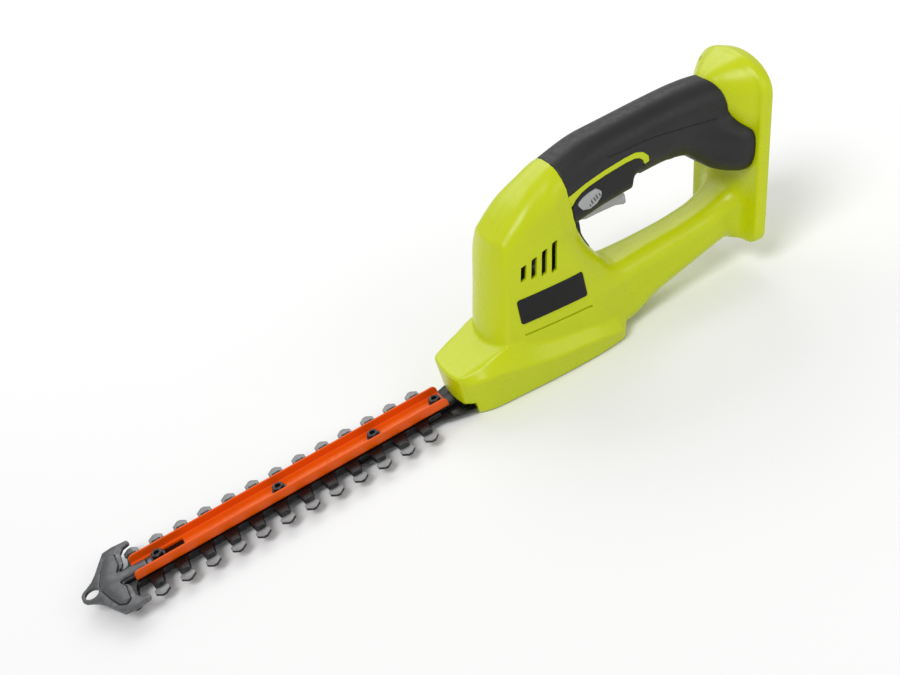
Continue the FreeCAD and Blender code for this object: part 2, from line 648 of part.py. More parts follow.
def rods():
    """One connecting rod for each blade, with the pin fixed in its small end."""
    for label, throw, low, pin_low in (("upper", "-crank_throw", "upper_rod_z", "upper_rod_z - 0.25"),
                                       ("lower", "crank_throw", "lower_rod_z", "lower_rod_z - 0.7")):
        eye = f"{throw} - rod_length"
        big = cylinder(label + "_big_end", "rod_ring", "rod_thick", throw, 0, low)
        small = cylinder(label + "_small_end", "rod_eye", "rod_thick", eye, 0, low)
        bar = box(label + "_bar", "rod_length", "2 * rod_waist", "rod_thick", eye, "-rod_waist", low)
        bore = cylinder(label + "_big_bore", "eccentric + running_gap", "rod_thick", throw, 0, low)
        hole = cylinder(label + "_small_bore", "rod_pin", "rod_thick", eye, 0, low)
        blank = fuse(label + "_rod_blank", [big, small, bar])
        finished(cut(label + "_rod_cut", blank, fuse(label + "_rod_bores", [bore, hole])), label + "_rod")
        finished(cylinder(label + "_pin_bar", "rod_pin", 3.2, eye, 0, pin_low), label + "_rod_pin")


def cover():
    """The flat bottom plate that the tool rests on, its screws and the bracket's screws."""
    body = new_body("cover_plate")
    sketch = new_sketch(body, "cover_outline")
    side = [("cover_front", "-cover_half + 5"), ("cover_front + 5", "-cover_half"),
            ("cover_rear - 5", "-cover_half"), ("cover_rear", "-cover_half + 5")]
    other = [(x, y.replace("-cover_half", "cover_half").replace("+ 5", "- 5")) for x, y in reversed(side)]
    outline(sketch, side + other)
    pad(body, sketch, "cover_thick")
    tools = []
    for number, (x, y) in enumerate(CASE_POSTS + COVER_POSTS):
        tools.append(cylinder(f"cover_hole_{number}", "screw_shank + 0.1", "cover_thick", x, y, 0))
        tools.append(cylinder(f"cover_sink_{number}", "screw_head + 0.1", 1.1, x, y, 0))
    finished(cut("cover_drilled", body, fuse("cover_drills", tools)), "base_cover")
    screws = []
    for number, (x, y) in enumerate(CASE_POSTS + COVER_POSTS):
        head = cylinder(f"cover_head_{number}", "screw_head", 0.9, x, y, 0.15)
        shank = cylinder(f"cover_shank_{number}", "screw_shank", 10, x, y, 1)
        screws.append(fuse(f"cover_screw_{number}", [head, shank]))
    finished(group("cover_screw_group", screws), "cover_screws")
    screws = []
    for side in (-14.7, 14.7):
        head = cylinder(f"bracket_head_{side}", 3.4, 1.8, -36.5, side, "bar_z - 1.8")
        shank = cylinder(f"bracket_shank_{side}", 2, 6, -36.5, side, "bar_z - 0.1")
        screws.append(fuse(f"bracket_screw_{side}", [head, shank]))
    finished(group("bracket_screw_group", screws), "bracket_screws")


# ---- motor ---------------------------------------------------------------------------------------
def motor():
    """A brushed motor standing over the pinion, with its fan on top."""
    x = "motor_x"
    tube = ring("can_tube", "motor_outer", "motor_outer - can_wall", "motor_high - motor_low",
                x, 0, "motor_low")
    floor = ring("can_floor", "motor_outer - 0.4", 5, 1.6, x, 0, "motor_low")
    finished(fuse("can_whole", [tube, floor]), "motor_can")
    cap = ring("cap_ring", "motor_outer", "motor_shaft + running_gap", 5, x, 0, "motor_high")
    finished(cap, "motor_end_cap")
    magnets = []
    for name, turn in (("left", -150), ("right", 30)):
        outer, inner = size("motor_outer") - size("can_wall") - 0.1, size("rotor_core") + 0.6
        axis = Vector(size("motor_x"), 0, 36)
        arc = Part.makeCylinder(outer, 38, axis, Vector(0, 0, 1), 120).cut(Part.makeCylinder(inner, 38, axis))
        arc.rotate(axis, Vector(0, 0, 1), turn)
        magnets.append(solid("magnet_" + name, arc))
    finished(group("magnet_group", magnets), "motor_magnets")
    brushes = [box(f"brush_{side}", 8, 4, 5, "motor_x + " + start, -2, 77)
               for side, start in (("rear", "5.3"), ("front", "(-13.3)"))]
    finished(group("brush_group", brushes), "motor_brushes")
    finished(cylinder("motor_shaft_bar", "motor_shaft", 84.5, x, 0, 15.5), "motor_shaft")
    core = Part.makeCylinder(size("rotor_core"), 36)
    for slot in range(8):
        angle = math.pi * slot / 4
        gap = Part.makeBox(6, 1.6, 36, Vector(size("rotor_core") - 4, -0.8, 0))
        core = core.cut(gap.rotate(Vector(), Vector(0, 0, 1), math.degrees(angle)))
    core = core.cut(Part.makeCylinder(size("motor_shaft"), 36))
    finished(place(solid("rotor_core_solid", core), x, 0, 38), "rotor_core")
    finished(ring("commutator_ring", 5, "motor_shaft", 7, x, 0, 75.5), "commutator")
    pinion_face = gear_face(int(size("pinion_teeth")), size("gear_module"), math.pi / size("pinion_teeth"))
    teeth = pinion_face.extrude(Vector(0, 0, size("gear_thick")))
    teeth = teeth.cut(Part.makeCylinder(size("motor_shaft"), size("gear_thick")))
    finished(place(solid("pinion_solid", teeth), x, 0, 15.5), "motor_pinion")
    hub = Part.makeCylinder(4, 7.5)
    disc = Part.makeCylinder(size("fan_radius"), 1)
    vanes = []
    for number in range(9):
        vane = Part.makeBox(size("fan_radius") - 3.5, 0.9, 7.5, Vector(3, -0.45, 0))
        vanes.append(vane.rotate(Vector(), Vector(0, 0, 1), 40 * number))
    fan = hub.multiFuse([disc] + vanes).cut(Part.makeCylinder(size("motor_shaft"), 7.5))
    finished(place(solid("fan_solid", fan), x, 0, 91.5), "motor_fan")


# ---- housing -------------------------------------------------------------------------------------
def vent_slots():
    """Four leaning air slots, each a little taller than the one before."""
    slots = []
    for number in range(4):
        top = (17 + 9.3 * number, 91 + 1.7 * number)
        low = (13 + 7.7 * number, 82 - 1.7 * number)
        slots.append(prism_y([low, (low[0] + 3, low[1] + 0.8), (top[0] + 3, top[1] + 0.8), top], 60))
    return slots


def cover_opening(gap):
    """The space of the base cover in the housing's floor."""
    front, rear, half = size("cover_front") - gap, size("cover_rear") + gap, size("cover_half") + gap
    side = [(front, 5 - half), (front + 5, -half), (rear - 5, -half), (rear, 5 - half)]
    points = [Vector(x, y, -1) for x, y in side] + [Vector(x, -y, -1) for x, y in reversed(side)]
    return Part.Face(Part.makePolygon(points + points[:1])).extrude(Vector(0, 0, size("wall") + 1.1))


def shells():
    """Both housing halves, the rubber over the grip and the badges, cut from one set of lofts."""
    wall = size("wall")
    skin = size("grip_skin")
    grip = united([along_x("grip"), along_x("cuff")]).cut(behind_foot(5))
    core = united([along_x("grip", skin), along_x("cuff", skin)]).cut(behind_foot(5))
    solid_tower, solid_dome, solid_foot = tower(0), dome(0), foot(0)
    arm = along_x("arm").cut(behind_foot(5))
    outer = united([core, solid_tower, shoe(0), along_x("hood"), arm, solid_dome, solid_foot])
    room = [along_x("grip", skin + wall).cut(behind_foot(6.5)),
            along_x("cuff", skin + wall).cut(behind_foot(6.5)), tower(wall), shoe(wall),
            along_x("hood", wall, wall), along_x("arm", wall, wall).cut(behind_foot(6.5)),
            dome(wall + 0.8), foot(wall)]
    front, rear, top = size("grip_front"), size("surround_rear"), size("surround_top")
    strips = [slab(front, rear + 3.4, 30, top + 0.3, top + 3.3),
              slab(rear + 0.4, rear + 3.4, 30, top - 5.5, top + 3.3)]
    trim = united(strips).common(grip).cut(core)
    shell = outer
    for space in room:
        shell = shell.cut(space)
    posts = [bar_y(x, z, size("boss_outer"), -60, 60).common(outer) for x, z in SCREWS]
    posts += [Part.makeCylinder(3.4, 13, Vector(x, y, size("cover_thick") + 0.1)) for x, y in COVER_POSTS]
    shell = united([shell] + posts)
    half, height = size("socket_half") + 0.2, size("socket_half_height") + 0.2
    middle = size("socket_mid")
    socket_room = foot_box(half, middle - height, middle + height,
                           size("foot_thick") - size("socket_depth") - 0.2, 30)
    gone = [slab(-60, -43, 40, -1, 10.6), slab(front + 0.1, rear + 0.3, 30, 90, top + 0.3),
            cover_opening(0.2), socket_room]
    gone += vent_slots()
    groove = prism_y([(5, 40.3), (57, 38.8), (57, 40.4), (5, 41.9)], 60).cut(tower(0.8))
    gone.append(groove)
    gone += [Part.makeCylinder(size("screw_shank") + 0.05, 11, Vector(x, y, 0)) for x, y in COVER_POSTS]
    recesses = []
    for x, z in SCREWS:
        gone.append(bar_y(x, z, size("screw_shank") + 0.1, -8.6, 10.5))
        recesses.append(bar_y(x, z, size("screw_head") + 0.3, 10, 60))
    shell = shell.cut(Part.makeCompound(gone + recesses))
    shell = shell.fuse(trim.cut(Part.makeCompound(recesses)))
    rubber = grip.cut(outer).cut(Part.makeCompound(recesses + [trim, slab(-60, front + 0.1, 60, 0, 200),
                      slab(front, rear + 0.3, 60, 60, top + 0.3), behind_foot(-0.05), socket_room]))
    for side, low in (("left", -100), ("right", 0)):
        keep = Part.makeBox(700, 100, 300, Vector(-400, low, -50))
        finished(solid(side + "_shell", main_solid(shell.common(keep))), side + "_housing")
        finished(solid(side + "_rubber", main_solid(rubber.common(keep))), side + "_grip")
        panel = prism_y([(5, 52), (54, 50), (54.5, 65.5), (4.5, 67.5)], 60)
        badge = tower(-0.8).common(panel).cut(solid_tower).common(keep)
        finished(solid(side + "_plate", main_solid(badge)), side + "_badge")


def main_solid(shape):
    """The largest solid of a shape, so that no splinter is left beside it."""
    return max(shape.Solids, key=lambda piece: piece.Volume)


def housing_screws():
    """Screws put in from the right, with their heads down in round recesses."""
    screws = []
    for number, (x, z) in enumerate(SCREWS):
        head = bar_y(x, z, size("screw_head"), 10, 12.4)
        socket = bar_y(x, z, 1.5, 11, 12.4)
        shank = bar_y(x, z, size("screw_shank"), -8.5, 10.2)
        screws.append(solid(f"housing_screw_{number}", head.fuse(shank).cut(socket)))
    finished(group("housing_screw_group", screws), "housing_screws")


def battery_socket():
    """The socket in the foot, its contact blades and the terminal block behind it."""
    half, height, wall = size("socket_half"), size("socket_half_height"), size("socket_wall")
    middle, back = size("socket_mid"), size("foot_thick")
    deep = back - size("socket_depth")
    cup = foot_box(half, middle - height, middle + height, deep, back)
    room = foot_box(half - wall, middle - height + wall, middle + height - wall, deep + wall, back + 1)
    slots, contacts = [], []
    for y in (-8, 0, 8):
        contact = foot_box(0.5, middle - 6, middle + 6, deep - 4, deep + 13)
        contact.translate(Vector(0, y, 0))
        contacts.append(solid(f"contact_{y + 8}", contact))
        slots.append(contact)
    finished(solid("socket_cup", cup.cut(room).cut(Part.makeCompound(slots))), "battery_socket")
    finished(group("contact_group", contacts), "battery_contacts")
    block = foot_box(13, middle - 9, middle + 9, deep - 8, deep).cut(Part.makeCompound(slots))
    finished(solid("terminal_solid", block), "terminal_block")


# ---- trigger group -------------------------------------------------------------------------------
def surround():
    """The black insert under the grip that frames the trigger and the lock-off button."""
    body = new_body("trigger_surround")
    side = new_sketch(body, "surround_side", plane="XZ")
    outline(side, (("grip_front + 0.3", "96.5"), ("110.5", "96.5"), ("surround_rear - 4.5", "104.5"),
                   ("surround_rear", "111.5"), ("surround_rear", "surround_top"),
                   ("grip_front + 0.3", "surround_top")))
    pad(body, side, "2 * surround_half", midplane=True)
    floor = new_sketch(body, "surround_floor", plane="XZ")
    outline(floor, (("grip_front + 0.3", "92.9"), ("72.5", "93.1"), ("104", "94.7"), ("109", "96.7"),
                    ("112", "100"), ("grip_front + 0.3", "100")))
    pad(body, floor, "28", midplane=True)
    leg = new_sketch(body, "surround_leg", plane="XZ")
    outline(leg, (("68.6", "95"), ("70.2", "73"), ("72.4", "74.5"), ("73.4", "95")))
    pad(body, leg, "20", midplane=True)
    room = new_sketch(body, "surround_room", offset="surround_top + 0.5")
    rectangle(room, "66", "115", "-15", "15")
    hollow = body.newObject("PartDesign::Pocket", "surround_hollow")
    hollow.Profile = room
    hollow.setExpression("Length", formula("surround_top + 0.5 - 95"))
    doc.recompute()
    mouth = new_sketch(body, "surround_mouth")
    rectangle(mouth, "69.4", "110", "-trigger_half - 0.6", "trigger_half + 0.6")
    pocket(body, mouth)
    hole = new_sketch(body, "surround_button_hole", plane="XZ")
    rectangle(hole, "button_x - button_length / 2 - 0.3", "button_x + button_length / 2 + 0.3",
              "button_z - button_height / 2 - 0.3", "button_z + button_height / 2 + 0.3")
    pocket(body, hole)
    finished(body, "trigger_surround")


def trigger():
    """The pivoted trigger: a thin lip in front that deepens towards the rear."""
    body = new_body("trigger")
    side = new_sketch(body, "trigger_side", plane="XZ")
    outline(side, (("trigger_x", "92.6"), ("trigger_x + 1.5", "90.5"), ("trigger_x + 5", "88.8"),
                   ("trigger_x + 13", "88.8"), ("trigger_x + 21", "87.9"), ("trigger_x + 30", "86.4"),
                   ("trigger_x + 34.6", "85.1"), ("trigger_x + 37", "85.9"), ("trigger_x + 37.6", "91.6"),
                   ("trigger_x + 36.8", "94.4"), ("trigger_x + 33", "95.2"), ("trigger_x + 33", "106.4"),
                   ("trigger_x + 29", "107.2"), ("trigger_x + 5", "104.4"), ("trigger_x - 2", "103.6"),
                   ("trigger_x - 4", "101"), ("trigger_x - 3.2", "98.4"), ("trigger_x - 2.2", "97")))
    pad(body, side, "2 * trigger_half", midplane=True)
    hole = new_sketch(body, "trigger_hole", plane="XZ")
    circle(hole, "trigger_x", "trigger_z", "pivot_pin + running_gap")
    pocket(body, hole)
    finished(body, "trigger")
    start = Vector(size("trigger_x"), -14.8, size("trigger_z"))
    pin = Part.makeCylinder(size("pivot_pin"), 29.6, start, Vector(0, 1, 0))
    finished(solid("trigger_pin_bar", pin), "trigger_pin")
    finished(solid("trigger_coil", coil(2.6, 0.4, 106.6, 115.9, 5, 88, 0)), "trigger_spring")


def lock_off():
    """A cross button with a ribbed pad on each side of the grip."""
    left = "button_x - button_length / 2"
    low = "button_z - button_height / 2"
    pads = [box(f"button_pad_{side}", "button_length", 4.6, "button_height", left, y, low)
            for side, y in (("left", "-surround_half - 1.1"), ("right", "surround_half - 3.5"))]
    bar = box("button_bar", 6, "2 * surround_half - 4", 4, "button_x - 3", "2 - surround_half",
              "button_z - 1")
    finished(fuse("button_whole", pads + [bar]), "lock_off_button")


def switch():
    """The power switch over the trigger, its plunger and the leads."""
    body_block = box("switch_block", 32, 16, 17, 80, -8, 116)
    bore = cylinder("switch_bore", 2.3, 9, 98, 0, 116)
    finished(cut("switch_cut", body_block, bore), "switch_body")
    finished(cylinder("plunger_bar", 2.2, 11, 98, 0, 107.9), "switch_plunger")
    battery_leads, motor_leads = [], []
    for side in (-4, 4):
        start = foot_point(side, 72, size("foot_thick") - size("socket_depth") - 8.5)
        route = [start, Vector(156, side, 127), Vector(134, side, 132), Vector(112, side, 127)]
        battery_leads.append(solid(f"battery_lead_{side + 4}", tube_along(route, 1.1, 8)))
        route = [Vector(80, side, 126), Vector(62, side, 122), Vector(47, side, 108), Vector(43, side, 89)]
        motor_leads.append(solid(f"motor_lead_{side + 4}", tube_along(route, 1.1, 7)))
    finished(group("battery_lead_group", battery_leads), "battery_leads")
    finished(group("motor_lead_group", motor_leads), "motor_leads")


def check_and_write():
    """Refuse a failed or empty shape, then write one file for each sub-part."""
    doc.recompute()
    for thing in doc.Objects:
        if "Invalid" in thing.State or "Error" in thing.State:
            raise RuntimeError(f"{thing.Label} is {thing.State}")
    for thing in PARTS:
        shape = thing.Shape
        if shape.isNull() or not shape.isValid() or not shape.Solids:
            raise RuntimeError(thing.Label + " has no valid solid")
    os.makedirs("parts", exist_ok=True)
    for thing in PARTS:
        thing.Shape.exportStep(f"parts/{thing.Label}.step")
        bounds = thing.Shape.BoundBox
        print(f"{thing.Label:18s} {len(thing.Shape.Solids):2d} solids {thing.Shape.Volume / 1000:8.2f} cm3"
              f"  x {bounds.XMin:.1f} {bounds.XMax:.1f}  y {bounds.YMin:.1f} {bounds.YMax:.1f}"
              f"  z {bounds.ZMin:.1f} {bounds.ZMax:.1f}")
    print(len(PARTS), "sub-parts")


fill_sheet()
blades()
support_bar()
blade_channel()
tip_guard()
blade_fasteners()
gear_case()
crank()
rods()
cover()
motor()
shells()
housing_screws()
battery_socket()
surround()
trigger()
lock_off()
switch()
check_and_write()
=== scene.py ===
"""Visual model of the cordless hedge trimmer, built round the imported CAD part.

The moulded shells are signed distance fields in millimetres, meshed and then cut with sharp tools.
Everything else is an extruded outline with rounded rims, or a skin through a row of rings.
Finished meshes are in metres, in the CAD frame.
"""

import math

import bmesh
import bpy
import numpy as np
import openvdb
from mathutils import Matrix, Vector


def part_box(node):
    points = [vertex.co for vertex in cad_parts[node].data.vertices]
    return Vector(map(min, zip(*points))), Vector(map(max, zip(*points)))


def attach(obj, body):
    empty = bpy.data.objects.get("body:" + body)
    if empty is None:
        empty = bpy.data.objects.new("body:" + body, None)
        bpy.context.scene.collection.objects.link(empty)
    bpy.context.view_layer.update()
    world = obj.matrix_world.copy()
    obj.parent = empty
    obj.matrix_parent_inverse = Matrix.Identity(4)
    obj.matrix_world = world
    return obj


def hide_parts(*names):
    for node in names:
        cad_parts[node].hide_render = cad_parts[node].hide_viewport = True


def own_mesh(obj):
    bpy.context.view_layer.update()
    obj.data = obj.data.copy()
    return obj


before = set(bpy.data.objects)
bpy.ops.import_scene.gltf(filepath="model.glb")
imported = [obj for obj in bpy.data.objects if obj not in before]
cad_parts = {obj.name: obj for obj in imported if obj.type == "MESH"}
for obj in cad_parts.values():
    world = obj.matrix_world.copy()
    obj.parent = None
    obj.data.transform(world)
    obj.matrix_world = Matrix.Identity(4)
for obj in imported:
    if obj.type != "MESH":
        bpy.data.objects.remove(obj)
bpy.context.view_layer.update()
MM = 0.001
SEAM = 0.04         # each half stops this far from the middle plane
WALL = 2.4          # thickness of the moulded shells
RUBBER = 2.2        # thickness of the rubber skin
RUBBER_GAP = 0.3    # between the rubber and the core under it
STEP = 0.9          # grid step of the large meshed fields
FINE_STEP = 0.7     # and of the small ones
FAR = 1000.0        # a distance that nothing reaches
CLEAR = 60.0        # side tools end here, well outside the moulding
RUBBER_START = 62.1     # x of the front end of the grip's rubber


def box_mm(node):
    """A CAD node's box in millimetres."""
    low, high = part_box(node)
    return low / MM, high / MM


# ---- distance fields ----
def smin(a, b, k):
    """Union with a fillet of about k."""
    near = np.maximum(k - np.abs(a - b), 0) / k
    return np.minimum(a, b) - near * near * k / 4


def smax(a, b, k):
    """Intersection with an outer edge rounded by about k."""
    return -smin(-a, -b, k)


def flow(table, column, at):
    """One column of a station table, joined by a monotone cubic."""
    xs = np.array([row[0] for row in table], float)
    vs = np.array([row[column] for row in table], float)
    gaps = np.diff(xs)
    slopes = np.diff(vs) / gaps
    tangents = np.concatenate(([slopes[0]], np.zeros(len(xs) - 2), [slopes[-1]]))
    for i in range(1, len(xs) - 1):
        if slopes[i - 1] * slopes[i] > 0:
            tangents[i] = 2 * slopes[i - 1] * slopes[i] / (slopes[i - 1] + slopes[i])
    at = np.clip(at, xs[0], xs[-1])
    i = np.clip(np.searchsorted(xs, at) - 1, 0, len(gaps) - 1)
    t = (at - xs[i]) / gaps[i]
    leaving = (2 * t ** 3 - 3 * t ** 2 + 1) * vs[i] + (t ** 3 - 2 * t ** 2 + t) * (tangents[i] * gaps[i])
    return leaving + (3 * t ** 2 - 2 * t ** 3) * vs[i + 1] + (t ** 3 - t ** 2) * (tangents[i + 1] * gaps[i])


def rounded_box(u, v, half_u, half_v, radius):
    """Distance outside a rectangle with rounded corners."""
    radius = np.minimum(radius, np.minimum(half_u, half_v) - 0.1)
    a = np.abs(u) - (half_u - radius)
    b = np.abs(v) - (half_v - radius)
    return np.hypot(np.maximum(a, 0), np.maximum(b, 0)) + np.minimum(np.maximum(a, b), 0) - radius


def tube(table, along, across, up, ends=3.0):
    """A rounded-box section carried along a station table of place, top, bottom, half and corner."""
    top, low, half, corner = [flow(table, column, along) for column in (1, 2, 3, 4)]
    body = rounded_box(across, up - (top + low) / 2, half, (top - low) / 2, corner)
    return smax(body, np.maximum(table[0][0] - along, along - table[-1][0]), ends)


def plane_between(u, v, start, end):
    """Distance outside the line from start to end; the outside is on its left."""
    du, dv = end[0] - start[0], end[1] - start[1]
    length = np.hypot(du, dv)
    return ((v - start[1]) * du - (u - start[0]) * dv) / length


# stations of tubes: place along the tube, top, bottom, half width, corner radius
GRIP = ((50, 134.5, 100, 22, 17), (62, 139, 100, 21.5, 17), (95, 145, 101, 20, 17),
        (128, 145, 101, 19.5, 17), (157, 144.5, 99, 19.5, 17), (170, 143.5, 92, 20, 17),
        (182, 142, 88, 20, 17), (212, 134, 84, 20, 16))
CUFF = ((150, 112, 103, 8, 4), (158, 114, 99, 12, 7), (167, 115, 88, 17.5, 11), (176, 116, 79, 23.5, 14),
        (185, 115, 74.5, 30, 16), (192, 113, 72.5, 33, 17), (212, 108, 72.5, 35, 17))
ARM = ((57, 53.2, 1.5, 24.8, 13), (84, 49, 1.5, 21, 12), (110, 48.5, 9, 18.5, 12), (136, 48.5, 14, 17, 11),
       (160, 50, 19, 17, 11), (176, 54, 22, 18, 11), (204, 66, 16, 25, 13))
DOME = ((-24, 99, 91, 5, 4.5), (-19, 103.5, 82, 13.5, 11), (-12, 108.5, 70, 23, 17), (-3, 113, 59, 32, 22),
        (4, 114.6, 57, 36, 24))
HOOD = ((7, 109, 84, 21, 8), (30, 125.4, 84, 23.6, 13), (48, 134, 84, 23.6, 17), (62, 139, 84, 21.5, 17),
        (66, 139, 84, 21.5, 17))
# gear housing: x, then half width at the bottom, half width and height of the flank's edge, and of the top
SHOE = ((-48, 17, 20.5, 26, 19.5, 33), (-43, 20.5, 25, 28, 21, 34), (-30, 25, 31, 29.5, 23, 37),
        (-9, 27, 33, 26, 26, 42), (15, 29, 34, 20, 22, 38), (45, 30, 34, 16, 20, 33),
        (70, 28, 31, 10, 17, 28), (77, 23, 25, 9, 15, 24))
SHOE_FRONT, SHOE_BACK = -52, 77
NOSE_BACK, NOSE_TOP = -43.2, 10     # the step under the nose, where the blades come out
# motor housing: z, then x of the front, and x and half width of its crease, side and shoulder
TOWER = ((20, -22, -14, 26, 20, 29, 62, 27.5), (42, -19, -10, 26, 20, 29, 60, 26.8),
         (70, -10, -2, 25.5, 25, 28.5, 58, 25), (93, -1.5, 4, 24, 28, 27, 56, 22.5),
         (105, 4, 8, 21.5, 30, 24.8, 56, 20.8), (118, 9, 12.5, 19, 30, 22.8, 50, 20.5),
         (145, 20, 23.5, 15, 32, 19.5, 50, 18.5))
# back of the motor housing: z, x, half width
REAR = ((20, 86, 17), (42, 84.5, 16), (59, 77.8, 15), (70, 73, 13.5), (80, 69.8, 12.5), (93, 67.6, 11.5),
        (105, 66, 12), (118, 61.6, 15), (145, 61.6, 15))
# top line of the motor housing: x, z
CREST = ((-30, 109), (5, 108.6), (18, 118), (30, 125.4), (48, 134), (62, 139.2), (80, 143))
# battery foot: its lean, a point of its front face, half width, ends, start and rise of the arch, thickness
LEAN = math.radians(14.1)
FOOT_ORIGIN = (184.6, 38.1)
FOOT_HALF, FOOT_LOW, FOOT_HIGH, FOOT_ARCH, FOOT_RISE, FOOT_THICK = 38, -17, 200, 91, 24, 9.3
# how far the arm, the core under the rubber, and the rubber run into the foot
ARM_DEEP, CORE_DEEP, RUBBER_DEEP = 4, 3, 1


def foot_frame(x, z):
    """How far up the battery foot's face, and how far out of its back, a point is."""
    dx, dz = x - FOOT_ORIGIN[0], z - FOOT_ORIGIN[1]
    return dx * math.sin(LEAN) + dz * math.cos(LEAN), dx * math.cos(LEAN) - dz * math.sin(LEAN)


def foot_place(across, up, out):
    """The place that is so far across, up and out of the battery foot."""
    return (FOOT_ORIGIN[0] + up * math.sin(LEAN) + out * math.cos(LEAN), across,
            FOOT_ORIGIN[1] + up * math.cos(LEAN) - out * math.sin(LEAN))


def grip_field(x, y, z):
    """The outside of the rubber: the grip and the cuff at the battery foot."""
    return smin(tube(GRIP, x, y, z), tube(CUFF, x, y, z), 9)


def tower_field(x, y, z):
    """The motor housing with its bowed front, and the hood that rises from it to the grip."""
    front, crease, crease_half, side, side_half, shoulder, shoulder_half = [
        flow(TOWER, column, z) for column in range(1, 8)]
    rear, rear_half = flow(REAR, 1, z), flow(REAR, 2, z)
    across = np.abs(y)
    bow = ((crease - front) ** 2 + crease_half ** 2) / (2 * (crease - front))
    middle = front + bow
    face = np.where(x < middle, np.hypot(x - middle, y), across + 0 * x) - bow
    flank = smax(plane_between(x, across, (crease, crease_half), (side, side_half)),
                 plane_between(x, across, (side, side_half), (shoulder, shoulder_half)), 8)
    flank = smax(flank, plane_between(x, across, (shoulder, shoulder_half), (rear, rear_half)), 5)
    flank = smax(flank, x - rear, 7)
    crest = (z - flow(CREST, 1, x) + y * y / 130) * 0.9
    rounding = np.interp(x, (4, 20, 50), (5, 12, 19))
    hood = np.maximum(tube(HOOD, x, y, z), x - RUBBER_START + 0.05)
    body = smin(smax(flank, crest, rounding), hood, 4)
    return np.maximum(smax(body, face, 1.2), 15 - z)


def shoe_field(x, y, z):
    """The gear housing: upright flanks, sloping shoulders and a flat bottom."""
    low_half, side_half, side_height, top_half, top = [flow(SHOE, column, x) for column in range(1, 6)]
    across = np.abs(y)
    flank = -plane_between(across, z, (low_half, 0), (side_half, side_height))
    shoulder = -plane_between(across, z, (side_half, side_height), (top_half, top))
    body = smax(smax(flank, shoulder, 1.2), z - top, 1.8)
    ends = np.maximum(SHOE_FRONT - x + y * y / 145, x - SHOE_BACK)
    body = smax(smax(body, ends, 3), -z, 1.6)
    under_nose = smax(x - NOSE_BACK, z - NOSE_TOP, 1.2)
    return smax(body, -under_nose, 1.2)


def foot_field(x, y, z):
    """The plate that carries the battery, arched at the top, with the dome that joins it to the grip."""
    up, out = foot_frame(x, z)
    reach = np.maximum(np.hypot(y / FOOT_HALF, (up - FOOT_ARCH) / FOOT_RISE), 0.05)
    slope = np.hypot(y / FOOT_HALF ** 2, (up - FOOT_ARCH) / FOOT_RISE ** 2) / reach
    arch = np.where(up > FOOT_ARCH, (reach - 1) / np.maximum(slope, 1e-3), np.abs(y) - FOOT_HALF + 0 * up)
    middle, half = (FOOT_LOW + FOOT_HIGH) / 2, (FOOT_HIGH - FOOT_LOW) / 2
    shape = np.maximum(arch, rounded_box(y, up - middle, FOOT_HALF, half, 11))
    plate = smax(smax(shape, out - FOOT_THICK, 2.6), -out, 3.2)
    return smin(plate, tube(DOME, out, y, up, 6), 4)


def body_field(x, y, z):
    """Everything moulded in green, without the part under the rubber."""
    body = smin(tower_field(x, y, z), shoe_field(x, y, z), 1.2)
    arm = np.maximum(tube(ARM, x, y, z), foot_frame(x, z)[1] - ARM_DEEP)
    body = smin(body, arm, 7)
    return smin(body, foot_field(x, y, z), 9)


# housing screws: x, z of each, put in from the right; the last two go through the rubber
SCREWS = ((-37, 22), (60, 52), (52, 127), (112, 28), (176, 38), (140, 119), (202, 141))
POST_RADIUS = 5


def shell_field(x, y, z):
    """The green body and the core under the rubber, hollow but for the screw posts."""
    core = np.maximum(grip_field(x, y, z) + RUBBER + RUBBER_GAP, foot_frame(x, z)[1] - CORE_DEEP)
    outer = np.minimum(body_field(x, y, z), core)
    posts = outer + FAR
    for post_x, post_z in SCREWS:
        posts = np.minimum(posts, np.hypot(x - post_x, z - post_z) - POST_RADIUS)
    return np.maximum(outer, np.minimum(-(outer + WALL), posts))


# ---- meshes from fields ----
def field_mesh(name, field, low, high, step=STEP):
    """Mesh where a field is zero, then slide every point on to the exact surface in three short steps."""
    axes = [np.arange(a, b + step, step) for a, b in zip(low, high)]
    values = field(axes[0][:, None, None], axes[1][None, :, None], axes[2][None, None, :])
    grid = openvdb.FloatGrid(5.0)
    grid.copyFromArray(np.ascontiguousarray(values, dtype=np.float32))
    points, quads = grid.convertToQuads()
    points = points.astype(float) * step + np.array([axis[0] for axis in axes])
    tiny = 0.04
    for _ in range(3):
        value = field(*points.T)
        slope = np.stack([(field(*(points + tiny * side).T) - field(*(points - tiny * side).T)) / (2 * tiny)
                          for side in np.eye(3)], axis=1)
        size = np.maximum((slope ** 2).sum(1), 0.2)
        move = -(value / size)[:, None] * slope
        length = np.maximum(np.linalg.norm(move, axis=1, keepdims=True), 1e-9)
        points += move * np.minimum(1, 0.4 * step / length)
    mesh = bpy.data.meshes.new(name)
    mesh.from_pydata((points * MM).tolist(), [], quads.tolist())
    mesh.update()
    return mesh


def half_of(mesh):
    """Keep the right side of a mesh and close it with a flat face at the seam."""
    work = bmesh.new()
    work.from_mesh(mesh)
    bmesh.ops.recalc_face_normals(work, faces=work.faces)
    geometry = work.verts[:] + work.edges[:] + work.faces[:]
    bmesh.ops.bisect_plane(work, geom=geometry, plane_co=(0, SEAM * MM, 0), plane_no=(0, 1, 0),
                           clear_inner=True)
    rim = [edge for edge in work.edges if edge.is_boundary]
    bmesh.ops.triangle_fill(work, edges=rim, use_beauty=True)
    bmesh.ops.recalc_face_normals(work, faces=work.faces)
    work.to_mesh(mesh)
    work.free()
    return mesh


def thing(name, mesh):
    """A new object in the scene that shows a mesh."""
    obj = bpy.data.objects.new(name, mesh)
    bpy.context.scene.collection.objects.link(obj)
    return obj


